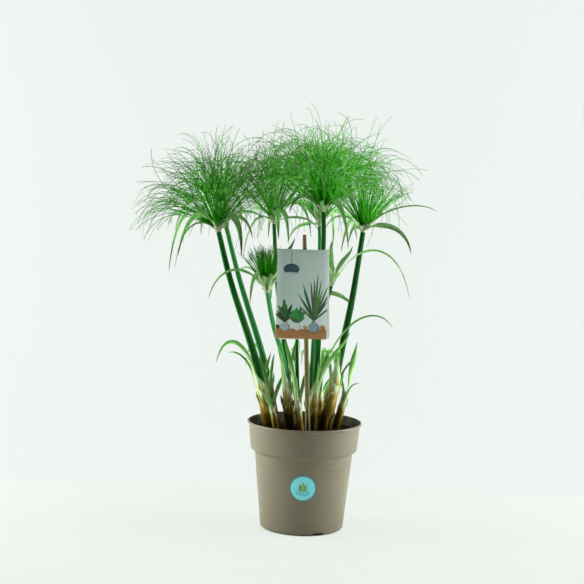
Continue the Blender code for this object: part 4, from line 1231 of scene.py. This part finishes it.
def add_bract(bm, root, blade, rng, ageing):
    """A bract: it clasps the stem's top with a pale base, arches over and narrows to a fine tip.

    Ageing under 1 keeps its colours to that share of the way from the pale base to the tip.
    """
    spine = swayed(blade_spine(root, blade, BRACT_STEPS), blade.heading, rng, 0.002 + 0.03 * blade.reach)
    share = np.linspace(0.0, 1.0, BRACT_STEPS + 1)
    widths = BRACT_BREADTH * blade.width * np.maximum(blade_share(share), 1.5 - 4.5 * share)
    rolls = BRACT_BASE_ROLL + (BRACT_ROLL - BRACT_BASE_ROLL) * smooth_share(share, 0.0, 0.22)
    fold = BRACT_FOLD * smooth_share(share, 0.0, 0.2)
    twist = shown_twist(spine, blade.heading, share, rng)
    add_leaf(bm, spine, blade.heading, widths, rolls, fold, twist, share * ageing, rng.random())


def cone_directions(count, cone, axis, rng):
    """Directions spread over a cone about an axis in a sunflower's spiral, somewhat closer at its heart."""
    index = np.arange(count)
    rise = 1.0 - ((index + 0.5) / count) ** HEART_CROWDING * (1.0 - math.cos(math.radians(cone)))
    turn = index * GOLDEN_ANGLE + rng.normal(0.0, 0.12, count)
    flat = np.sqrt(1.0 - rise ** 2)
    about_up = np.stack([flat * np.cos(turn), flat * np.sin(turn), rise], axis=1)
    stand = np.array(UP.rotation_difference(axis).to_matrix())
    return unit(about_up @ stand.T + rng.normal(0.0, 0.03, (count, 3)))


def thread_directions(rays, threads, fan, rng):
    """Where each ray's threads set off to: round the ray's end, fanned out from its own direction."""
    side = unit(np.cross(rays, (0.31, 0.57, 0.76)))
    over = np.cross(rays, side)
    turn = (np.arange(threads) / threads * math.tau)[None, :] + rng.uniform(0.0, math.tau, (len(rays), 1))
    turn = turn + rng.normal(0.0, 0.3, turn.shape)
    tilt = np.radians(fan) * rng.uniform(0.35, 1.35, turn.shape)
    ring = side[:, None, :] * np.cos(turn)[..., None] + over[:, None, :] * np.sin(turn)[..., None]
    spread = rays[:, None, :] * np.cos(tilt)[..., None] + ring * np.sin(tilt)[..., None]
    return spread.reshape(-1, 3)


def thread_paths(starts, headings, lengths, curl, weight, steps, seed):
    """Threads that curl slowly to a side and sink under their own weight, as points (thread, step, 3)."""
    rng = np.random.default_rng(seed)
    count = len(starts)
    one, other = unit(rng.normal(size=(count, 3))), unit(rng.normal(size=(count, 3)))
    phase = rng.uniform(0.0, math.tau, count)
    rate = rng.uniform(-1.6, 1.6, count)
    strength = curl * rng.uniform(0.25, 1.5, count)
    sink = weight * rng.uniform(0.6, 1.5, count)
    stride = lengths / steps
    points = [starts]
    heading = headings
    for step in range(steps):
        share = (step + 0.5) / steps
        swing = phase + rate * share
        axis = unit(one * np.cos(swing)[:, None] + other * np.sin(swing)[:, None])
        bend = np.cross(axis, heading) * (strength * stride)[:, None]
        pull = np.array(UP) * (sink * stride * (0.35 + 1.3 * share))[:, None]
        heading = unit(heading + bend - pull)
        points.append(points[-1] + heading * stride[:, None])
    return np.stack(points, axis=1)


def within_frame(paths):
    """Which paths stay inside the frame's box, with a little to spare."""
    low, high = np.array(CAD_LOW) - ROOM_BELOW, np.array(CAD_HIGH) + ROOM_ABOVE
    return ((paths > low) & (paths < high)).all(axis=(1, 2))


def strands(paths, radii, along, tones):
    """Fine tapering tubes along paths, as (points, quads, caps, growth)."""
    sides = STRAND_SIDES
    tangents = unit(np.gradient(paths, axis=1))
    side = unit(np.cross(tangents[:, 0], (0.36, 0.48, 0.80)))
    count, rings = paths.shape[:2]
    points = np.empty((count, rings, sides, 3))
    for ring in range(rings):
        tangent = tangents[:, ring]
        side = unit(side - tangent * np.sum(side * tangent, axis=1, keepdims=True))
        over = np.cross(tangent, side)
        for corner in range(sides):
            angle = math.tau * corner / sides
            offset = side * math.cos(angle) + over * math.sin(angle)
            points[:, ring, corner] = paths[:, ring] + offset * radii[:, ring, None]
    first = np.arange(count)[:, None, None] * rings * sides + np.arange(rings - 1)[None, :, None] * sides
    corner = np.arange(sides)[None, None, :]
    after = (corner + 1) % sides
    quads = np.stack([first + corner, first + after, first + sides + after, first + sides + corner], axis=-1)
    starts = np.arange(count)[:, None] * rings * sides
    foot_caps = starts + np.arange(sides)[::-1][None, :]
    tip_caps = starts + (rings - 1) * sides + np.arange(sides)[None, :]
    growth = np.zeros((count, rings, sides, 3))
    growth[..., 1] = along[None, :, None]
    growth[..., 2] = tones[:, None, None]
    caps = np.concatenate([foot_caps, tip_caps])
    return points.reshape(-1, 3), quads.reshape(-1, 4), caps, growth.reshape(-1, 3)


def joined_strands(name, sets):
    """Sets of strands joined in one mesh that carries their growth attribute."""
    points, faces, growth, offset = [], [], [], 0
    for set_points, quads, caps, set_growth in sets:
        points.append(set_points)
        growth.append(set_growth)
        faces += (quads + offset).tolist() + (caps + offset).tolist()
        offset += len(set_points)
    mesh = bpy.data.meshes.new(name)
    mesh.from_pydata(np.concatenate(points), [], faces)
    attribute = mesh.attributes.new("growth", "FLOAT_VECTOR", "POINT")
    attribute.data.foreach_set("vector", np.concatenate(growth).astype(np.float32).ravel())
    return mesh


def tapering(radius, spread, taper, shares, rng, count):
    """Radii along many strands: each strand's own share of a radius, less towards its end."""
    return radius * rng.uniform(*spread, count)[:, None] * (1.0 - taper * shares)[None, :]


def head_mesh(shoot, head, seed):
    """A head: straight rays from the stem's top, each ending in a tuft of threads."""
    rng = np.random.default_rng(seed)
    bends = stem_axis(shoot)
    stem = (bends[-1] - bends[-2]).normalized()
    axis = (stem + UP).normalized()
    base = np.array(bends[-1] + stem * (WHORL_HEIGHT + 2 * GAP))
    directions = cone_directions(head.rays, head.cone, axis, rng)
    upright = directions @ np.array(axis)
    lengths = head.ray * rng.uniform(0.86, 1.12, head.rays) * (1.10 - 0.20 * upright ** 2)
    shares = np.linspace(0.0, 1.0, RAY_STEPS + 1)
    lean = np.sqrt(1.0 - directions[:, 2] ** 2)
    rays = base + directions[:, None, :] * (lengths[:, None] * shares[None, :] + 0.002)[..., None]
    rays[..., 2] -= (RAY_DROOP * lean * lengths)[:, None] * shares[None, :] ** 3
    ray_radii = tapering(head.ray_radius, (0.8, 1.2), 0.35, shares, rng, head.rays)
    ray_tones = np.clip(head.tone + rng.uniform(-0.3, 0.4, head.rays), 0.0, 1.0)
    ray_set = strands(rays, ray_radii, 0.5 * shares, ray_tones)

    set_off = unit(rays[:, -1] - rays[:, -2])
    headings = thread_directions(set_off, head.threads, head.fan, rng)
    starts = np.repeat(rays[:, -1], head.threads, axis=0)
    thread_lengths = head.thread * rng.uniform(0.50, 1.15, len(starts))
    thread_lengths *= np.repeat(1.12 - 0.22 * upright ** 2, head.threads)
    steps = LONG_THREAD_STEPS if head.thread > LONG_THREAD else SHORT_THREAD_STEPS
    for _ in range(SHORTENING_TRIES):
        paths = thread_paths(starts, headings, thread_lengths, head.curl, head.weight, steps, seed + 100)
        outside = ~within_frame(paths)
        if not outside.any():
            break
        thread_lengths[outside] *= SHORTENING
    shares = np.linspace(0.0, 1.0, steps + 1)
    radii = tapering(head.thread_radius, (0.75, 1.2), 0.45, shares, rng, len(starts))
    tones = np.clip(np.repeat(ray_tones, head.threads) + rng.uniform(-0.25, 0.25, len(starts)), 0.0, 1.0)
    return joined_strands("head", [ray_set, strands(paths, radii, 0.5 + 0.5 * shares, tones)])


class PAPYRUS_OT_pot(bpy.types.Operator):
    """Make the moulded pot with its rolled lip, stepped collar, rings, drain slots and holes"""

    bl_idname = "papyrus.make_pot"
    bl_label = "Make Pot"

    def execute(self, context):
        settings = context.scene.papyrus_pot
        whole = mesh_of("pot_moulding", spun(pot_outline(settings.ring), POT_SEGMENTS))
        finish = material("moulded taupe plastic", plastic_material, settings)
        add_piece("pot_moulding", cut_away(whole, drain_cutter()), [finish], ["pot"], smooth=32.0)
        return {"FINISHED"}


class PAPYRUS_OT_soil(bpy.types.Operator):
    """Fill the pot with lumpy potting mix, and scatter crumbs and reddish bark over it"""

    bl_idname = "papyrus.make_soil"
    bl_label = "Make Potting Mix"

    def execute(self, context):
        settings = context.scene.papyrus_pot
        dark = material("moist potting mix", mix_material, settings.mix, linear(22, 16, 12), 90.0)
        bark = material("reddish bark", mix_material, settings.bark, linear(70, 42, 26), 300.0)
        add_piece("potting_mix", make_soil_body(settings.mound), [dark], ["soil"], smooth=60.0)
        rng = np.random.default_rng(SOIL_SEED)
        crumb = bmesh.new()
        bmesh.ops.create_icosphere(crumb, subdivisions=1, radius=0.5)
        sizes = settings.crumb * rng.lognormal(0.0, 0.45, (settings.crumbs, 1))
        sizes = sizes * rng.uniform(0.55, 1.2, (settings.crumbs, 3))
        places = self.places(settings.crumbs, settings.mound, rng, CRUMB_LIFT)
        crumbs = scattered("crumbs", crumb, places, np.minimum(sizes, CRUMB_LIMIT), rng)
        add_piece("potting_mix_crumbs", crumbs, [dark], smooth=180.0)
        chip = bmesh.new()
        bmesh.ops.create_cube(chip, size=1.0)
        bevel(chip, chip.edges[:], 0.12, 1)
        sizes = np.array(CHIP_SIZE) * rng.uniform(0.5, 1.4, (settings.chips, 3))
        places = self.places(settings.chips, settings.mound, rng, CHIP_LIFT)
        chips = scattered("chips", chip, places, sizes, rng)
        add_piece("potting_mix_bark", chips, [bark], smooth=30.0)
        return {"FINISHED"}

    def places(self, count, mound, rng, lift):
        """Places spread evenly over the mix, inside the pot's wall."""
        distance = (COLLAR_FOOT_RADIUS - 0.0035) * np.sqrt(rng.uniform(0.0, 1.0, count))
        turn = rng.uniform(0.0, math.tau, count)
        x, y = distance * np.cos(turn), distance * np.sin(turn)
        heights = [soil_height(one, other, mound) + lift for one, other in zip(x, y)]
        return np.stack([x, y, heights], axis=1)


class PAPYRUS_OT_stems(bpy.types.Operator):
    """Grow the bare three-sided stems"""

    bl_idname = "papyrus.make_stems"
    bl_label = "Make Stems"

    def execute(self, context):
        finish = material("ridged stem green", stem_material, context.scene.papyrus_plant)
        for shoot in SHOOTS:
            line = smooth_line(stem_axis(shoot), STEM_STEPS)
            sizes = np.linspace(shoot.foot_radius, shoot.top_radius, STEM_STEPS)
            bm = growing_bmesh()
            swept(bm, stem_section(), line, sizes, shoot.tone)
            add_piece("stalk_" + shoot.name, mesh_of("stalk", bm), [finish], ["stem_" + shoot.name])
        return {"FINISHED"}


def sheath_finish(settings):
    """Sheathing leaf: from a dry brown foot through straw and pale green to green."""
    stops = (
        (0.0, settings.foot), (0.14, linear(98, 76, 4)), (0.31, linear(130, 108, 20)), (0.41, settings.dry),
        (0.48, settings.pale), (0.56, linear(178, 216, 146)), (0.68, settings.leaf), (0.95, settings.leaf),
        (1.0, linear(126, 98, 52)),
    )
    return material("sheathing leaf", leaf_material, stops, 0.42, 0.22, 0.45)


class PAPYRUS_OT_sheaths(bpy.types.Operator):
    """Wrap each stem's foot in leaves that open at their mouths into strap blades"""

    bl_idname = "papyrus.make_sheaths"
    bl_label = "Make Sheaths"

    def execute(self, context):
        settings = context.scene.papyrus_plant
        finish = sheath_finish(settings)
        for shoot in SHOOTS:
            rng = random.Random("sheath " + shoot.name)
            bm = growing_bmesh()
            bends = stem_axis(shoot)
            foot, direction = bends[0], (bends[1] - bends[0]).normalized()
            length = shoot.sheath + POCKET_DEPTH
            radius = shoot.foot_radius + SHEATH_CLEARANCE
            for index, blade in enumerate(shoot.blades):
                tall = length * (1 - SHEATH_SHORTER * index)
                add_sheath_leaf(bm, foot, direction, radius + SHEATH_LAYER * index, tall, blade, rng)
            turn = rng.uniform(0, 360)
            for index, (low, tall, ageing) in enumerate(SCALE_LEAVES):
                scale = scale_leaf(turn + index * GOLDEN_TURN + rng.uniform(-20, 20), tall)
                wide = radius + SCALE_CLEARANCE + SHEATH_LAYER * index
                add_sheath_leaf(
                    bm, foot, direction, wide, length * low, scale, rng, steps=SCALE_STEPS, ageing=ageing,
                )
            name = "sheathing_" + shoot.name
            add_leaf_piece(name, bm, finish, "sheath_" + shoot.name, settings.leaf_thickness)
        return {"FINISHED"}


class PAPYRUS_OT_sprouts(bpy.types.Operator):
    """Grow the young shoots, which are rolled leaves without a stem"""

    bl_idname = "papyrus.make_sprouts"
    bl_label = "Make Young Shoots"

    def execute(self, context):
        settings = context.scene.papyrus_plant
        finish = sheath_finish(settings)
        for sprout in SPROUTS:
            rng = random.Random("sprout " + sprout.name)
            bm = growing_bmesh()
            direction = Vector((*sprout.lean, 1.0)).normalized()
            foot = Vector((*sprout.foot, SOIL_TOP)) - direction * STANDING_DEPTH
            length = sprout.height + POCKET_DEPTH
            for index, blade in enumerate(sprout.blades):
                radius = sprout.radius * (0.80 + 0.10 * index)
                tall = length * (1.0 - SPROUT_SHORTER * index)
                add_sheath_leaf(bm, foot, direction, radius, tall, blade, rng)
            name = "young_shoot_" + sprout.name
            add_leaf_piece(name, bm, finish, "sprout_" + sprout.name, settings.leaf_thickness)
        return {"FINISHED"}


class PAPYRUS_OT_bracts(bpy.types.Operator):
    """Set a whorl of strap bracts on each stem's upper end"""

    bl_idname = "papyrus.make_bracts"
    bl_label = "Make Bracts"

    def execute(self, context):
        settings = context.scene.papyrus_plant
        stops = (
            (0.0, settings.pale), (0.16, linear(202, 226, 184)), (0.36, settings.bract),
            (0.80, settings.bract), (0.94, linear(116, 152, 72)), (1.0, linear(126, 98, 52)),
        )
        finish = material("strap bract", leaf_material, stops, 0.40, 0.50, 0.40)
        for shoot in SHOOTS:
            rng = random.Random("bracts " + shoot.name)
            bm = growing_bmesh()
            bends = stem_axis(shoot)
            direction = (bends[-1] - bends[-2]).normalized()
            middle = bends[-1] + direction * (WHORL_HEIGHT / 2 + GAP)
            self.add_hub(bm, shoot.top_radius + 0.0003, leaning(direction, middle))
            bracts = [(blade, 1.0) for blade in shoot.bracts]
            bracts += [(blade, CUP_AGEING) for blade in self.cup_bracts(shoot.name, rng)]
            bracts += INNER_BRACTS.get(shoot.name, ())
            for blade, ageing in bracts:
                radius = max(WHORL_RADIUS, shoot.top_radius + 0.0012)
                add_bract(bm, middle + outwards(blade.heading) * radius * 0.8, blade, rng, ageing)
            name = "whorl_" + shoot.name
            add_leaf_piece(name, bm, finish, "bracts_" + shoot.name, settings.leaf_thickness)
        return {"FINISHED"}

    def cup_bracts(self, name, rng):
        """Short broad bracts that stand up round the feet of a head's rays, as a pale cup."""
        turn = rng.uniform(0, 360)
        for index in range(CUP_BRACTS if name in HEADS else 0):
            size = HEADS[name].cup * rng.uniform(0.8, 1.2)
            heading = turn + index * 360 / CUP_BRACTS + rng.uniform(-12, 12)
            yield Blade(heading, 0.003 + 0.45 * size, 0.55 * size, 0.85 * size, 0.0070)

    def add_hub(self, bm, radius, matrix):
        """The short pale neck that the bracts grow from, a close cap over the stem's end."""
        cone = bmesh.ops.create_cone(
            bm, cap_ends=True, segments=HUB_SEGMENTS, radius1=radius, radius2=radius + 0.0006,
            depth=WHORL_HEIGHT + 0.0016, matrix=matrix,
        )
        layer = bm.verts.layers.float_vector["growth"]
        for vert in cone["verts"]:
            vert[layer] = (0.5, 0.04, 0.6)


class PAPYRUS_OT_heads(bpy.types.Operator):
    """Grow the heads of rays and threads"""

    bl_idname = "papyrus.make_heads"
    bl_label = "Make Heads"

    def execute(self, context):
        settings = context.scene.papyrus_plant
        stops = (
            (0.0, linear(136, 92, 38)), (0.035, linear(160, 160, 80)), (0.08, linear(70, 140, 30)),
            (0.15, settings.ray), (0.42, settings.ray), (0.56, settings.thread), (0.74, settings.thread),
            (0.90, linear(100, 172, 74)), (1.0, linear(118, 148, 92)),
        )
        finish = material("ray and thread", strand_material, stops, 0.40)
        for index, shoot in enumerate(SHOOTS):
            if shoot.name in HEADS:
                mesh = head_mesh(shoot, HEADS[shoot.name], HEAD_SEED + index)
                add_piece("umbel_" + shoot.name, mesh, [finish], ["head_" + shoot.name], smooth=180.0)
        return {"FINISHED"}


class PAPYRUS_OT_stick(bpy.types.Operator):
    """Split the bamboo stick, with its groove and its pointed foot"""

    bl_idname = "papyrus.make_stick"
    bl_label = "Make Stick"

    def execute(self, context):
        finish = material("split bamboo", bamboo_material, context.scene.papyrus_card)
        bm = growing_bmesh()
        shares = [index / STICK_STEPS for index in range(STICK_STEPS + 1)]
        line = [STICK_FOOT.lerp(STICK_TOP, share) for share in shares]
        sizes = [0.001 * self.size(share) for share in shares]
        swept(bm, self.section(), line, sizes, 0.5)
        add_piece("card_stick", mesh_of("card_stick", bm), [finish], ["stick"])
        return {"FINISHED"}

    def size(self, share):
        """The stick's width along its length: a sharp foot, and a slightly narrowed top."""
        return min(1.0, 0.3 + share * 15.0) * (1.0 - 0.25 * max(0.0, (share - 0.92) / 0.08))

    def section(self):
        """The stick's section in millimetres: flat, with round edges and a groove down its front."""
        points = []
        for index in range(STICK_SECTION_POINTS):
            angle = math.tau * index / STICK_SECTION_POINTS
            across = math.copysign(abs(math.cos(angle)) ** 0.55, math.cos(angle)) * STICK_WIDTH * 500
            over = math.copysign(abs(math.sin(angle)) ** 0.55, math.sin(angle)) * STICK_THICKNESS * 500
            if over < 0:
                over += 0.9 * max(0.0, 1.0 - abs(across) / 1.1)
            points.append((across, over))
        return points


class PAPYRUS_OT_card(bpy.types.Operator):
    """Make the care card's two panels, the front one printed"""

    bl_idname = "papyrus.make_card"
    bl_label = "Make Card"

    def execute(self, context):
        settings = context.scene.papyrus_card
        board = material("card board", paper_material, settings)
        printed = material("card print", card_print_material, settings)
        self.panel("card_panel_front", Vector(), 0.0, [board, printed], "card", "card_front")
        self.panel("card_panel_back", BACK_CARD_SHIFT, BACK_CARD_TURN, [board], "back_card", "card_back")
        return {"FINISHED"}

    def panel(self, name, shift, turn, finishes, slot, node):
        """One panel: thin board with eased edges and a slight bow; a second finish prints its front face."""
        bm = bmesh.new()
        size = Matrix.Diagonal((CARD_WIDTH, CARD_THICKNESS, CARD_HEIGHT, 1.0))
        bmesh.ops.create_cube(bm, size=1.0, matrix=size)
        bevel(bm, [edge for edge in bm.edges if self.depth(edge) > CARD_THICKNESS / 2], CARD_CORNER, 4)
        bevel(bm, [edge for edge in bm.edges if self.depth(edge) < CARD_THICKNESS / 4], CARD_EDGE, 2)
        cuts = ((UP, CARD_HEIGHT, CARD_ROWS), (Vector((1.0, 0.0, 0.0)), CARD_WIDTH, CARD_COLUMNS))
        for way, extent, count in cuts:
            for index in range(1, count):
                place = way * extent * (index / count - 0.5)
                geometry = bm.verts[:] + bm.edges[:] + bm.faces[:]
                bmesh.ops.bisect_plane(bm, geom=geometry, plane_co=place, plane_no=way)
        bm.normal_update()
        for face in bm.faces:
            if len(finishes) > 1 and face.normal.y < -0.8:
                face.material_index = 1
        for vert in bm.verts:
            vert.co.y += CARD_BOW * (vert.co.x / CARD_WIDTH * 2) ** 2
        place = Matrix.Translation(CARD_CENTRE + shift) @ Matrix.Rotation(math.radians(turn), 4, "Y")
        bmesh.ops.transform(bm, matrix=place, verts=bm.verts)
        add_piece(name, mesh_of(name, bm), finishes, [node], smooth=30.0)

    def depth(self, edge):
        """How far an edge runs from front to back."""
        return abs(edge.verts[0].co.y - edge.verts[1].co.y)


class PAPYRUS_OT_sticker(bpy.types.Operator):
    """Lay the round sticker on the pot's curved front"""

    bl_idname = "papyrus.make_sticker"
    bl_label = "Make Sticker"

    def execute(self, context):
        finish = material("turquoise label", label_material, context.scene.papyrus_card)
        bm = bmesh.new()
        bmesh.ops.create_circle(bm, cap_ends=True, segments=STICKER_SEGMENTS, radius=STICKER_RADIUS)
        for _ in range(STICKER_RINGS):
            step = STICKER_RADIUS / (STICKER_RINGS + 1.5)
            bmesh.ops.inset_individual(bm, faces=self.middle(bm), thickness=step)
        bmesh.ops.poke(bm, faces=self.middle(bm))
        for vert in bm.verts:
            level = STICKER_HEIGHT + vert.co.y
            reach = body_radius(level) + GAP
            turn = vert.co.x / reach
            vert.co = Vector((reach * math.sin(turn), -reach * math.cos(turn), level))
        bmesh.ops.recalc_face_normals(bm, faces=bm.faces)
        bm.normal_update()
        if bm.faces[:][-1].normal.y > 0:
            bmesh.ops.reverse_faces(bm, faces=bm.faces)
        bmesh.ops.solidify(bm, geom=bm.faces[:], thickness=-STICKER_THICKNESS)
        add_piece("pot_sticker", mesh_of("pot_sticker", bm), [finish], ["sticker"], smooth=30.0)
        return {"FINISHED"}

    def middle(self, bm):
        """The sticker's middle face, in a list."""
        return [face for face in bm.faces if len(face.verts) == STICKER_SEGMENTS]


class PAPYRUS_OT_stage(bpy.types.Operator):
    """Set the pale table and backdrop, the soft lights and the camera"""

    bl_idname = "papyrus.make_stage"
    bl_label = "Make Stage"

    camera_place = (-0.0276, -2.500, 0.624)
    camera_pitch = 5.31
    camera_roll = 1.81
    camera_lens = 94.07
    light_size = (0.5, 0.65)
    world_strength = 0.02

    def execute(self, context):
        settings = context.scene.papyrus_stage
        scene = context.scene
        self.sheet("table", Matrix.Diagonal((5.0, 5.0, 1.0, 1.0)), settings.floor, 0.92)
        place = Matrix.Translation((0.0, settings.distance, 2.0)) @ Matrix.Rotation(math.pi / 2, 4, "X")
        size = Matrix.Diagonal((6.0, 4.0, 1.0, 1.0))
        self.sheet("backdrop", place @ size, settings.wall, 0.95, one_sided=True)
        for side in (-1.25, 1.25):
            self.soft_light("side_light", (side, 0.03, 0.60), (0.0, 0.03, 0.34), settings.side_light)
        self.soft_light("top_light", (0.0, 0.0, 2.1), (0.0, 0.0, 0.4), settings.top_light)
        scene.world = bpy.data.worlds.new("studio")
        scene.world.use_nodes = True
        background = scene.world.node_tree.nodes["Background"]
        background.inputs["Color"].default_value = opaque(linear(236, 244, 238))
        background.inputs["Strength"].default_value = self.world_strength
        scene.view_settings.view_transform = "Standard"
        self.camera(scene)
        return {"FINISHED"}

    def sheet(self, name, matrix, colour, evenness, one_sided=False):
        bm = bmesh.new()
        bmesh.ops.create_grid(bm, x_segments=4, y_segments=4, size=0.5, matrix=matrix)
        mesh = mesh_of(name, bm, outward=False)
        mesh.materials.append(stage_material(name, colour, evenness, one_sided))
        made = linked(bpy.data.objects.new(name, mesh))

    def soft_light(self, name, place, target, power):
        data = bpy.data.lights.new(name, "AREA")
        data.shape = "RECTANGLE"
        data.size, data.size_y = self.light_size
        data.energy = power
        light = linked(bpy.data.objects.new(name, data))
        light.location = place
        light.rotation_euler = (Vector(target) - Vector(place)).to_track_quat("-Z", "Y").to_euler()

    def camera(self, scene):
        data = bpy.data.cameras.new("camera")
        data.lens = self.camera_lens
        data.sensor_width = 36.0
        scene.camera = linked(bpy.data.objects.new("camera", data))
        tilt = Matrix.Rotation(math.radians(90.0 - self.camera_pitch), 4, "X")
        roll = Matrix.Rotation(math.radians(self.camera_roll), 4, "Z")
        scene.camera.matrix_world = Matrix.Translation(self.camera_place) @ tilt @ roll


OPERATORS = (
    PAPYRUS_OT_stage, PAPYRUS_OT_pot, PAPYRUS_OT_soil, PAPYRUS_OT_stems, PAPYRUS_OT_sheaths,
    PAPYRUS_OT_sprouts, PAPYRUS_OT_bracts, PAPYRUS_OT_heads, PAPYRUS_OT_stick, PAPYRUS_OT_card,
    PAPYRUS_OT_sticker,
)

SETTINGS = {
    PapyrusPotSettings: "papyrus_pot",
    PapyrusPlantSettings: "papyrus_plant",
    PapyrusCardSettings: "papyrus_card",
    PapyrusStageSettings: "papyrus_stage",
}


class PAPYRUS_PT_panel(bpy.types.Panel):
    bl_label = "Potted Papyrus"
    bl_idname = "PAPYRUS_PT_panel"
    bl_space_type = "VIEW_3D"
    bl_region_type = "UI"
    bl_category = "Papyrus"

    def draw(self, context):
        for operator in OPERATORS:
            self.layout.operator(operator.bl_idname)
        for group in SETTINGS:
            for name in group.__annotations__:
                self.layout.prop(getattr(context.scene, SETTINGS[group]), name)


def register():
    for made in (*SETTINGS, *OPERATORS, PAPYRUS_PT_panel):
        bpy.utils.register_class(made)
    for group, name in SETTINGS.items():
        setattr(bpy.types.Scene, name, PointerProperty(type=group))


def unregister():
    for name in SETTINGS.values():
        delattr(bpy.types.Scene, name)
    for made in reversed((*SETTINGS, *OPERATORS, PAPYRUS_PT_panel)):
        bpy.utils.unregister_class(made)


def main():
    register()
    for operator in OPERATORS:
        name = operator.bl_idname.split(".")[1]
        getattr(bpy.ops.papyrus, name)()


if __name__ == "__main__":
    main()
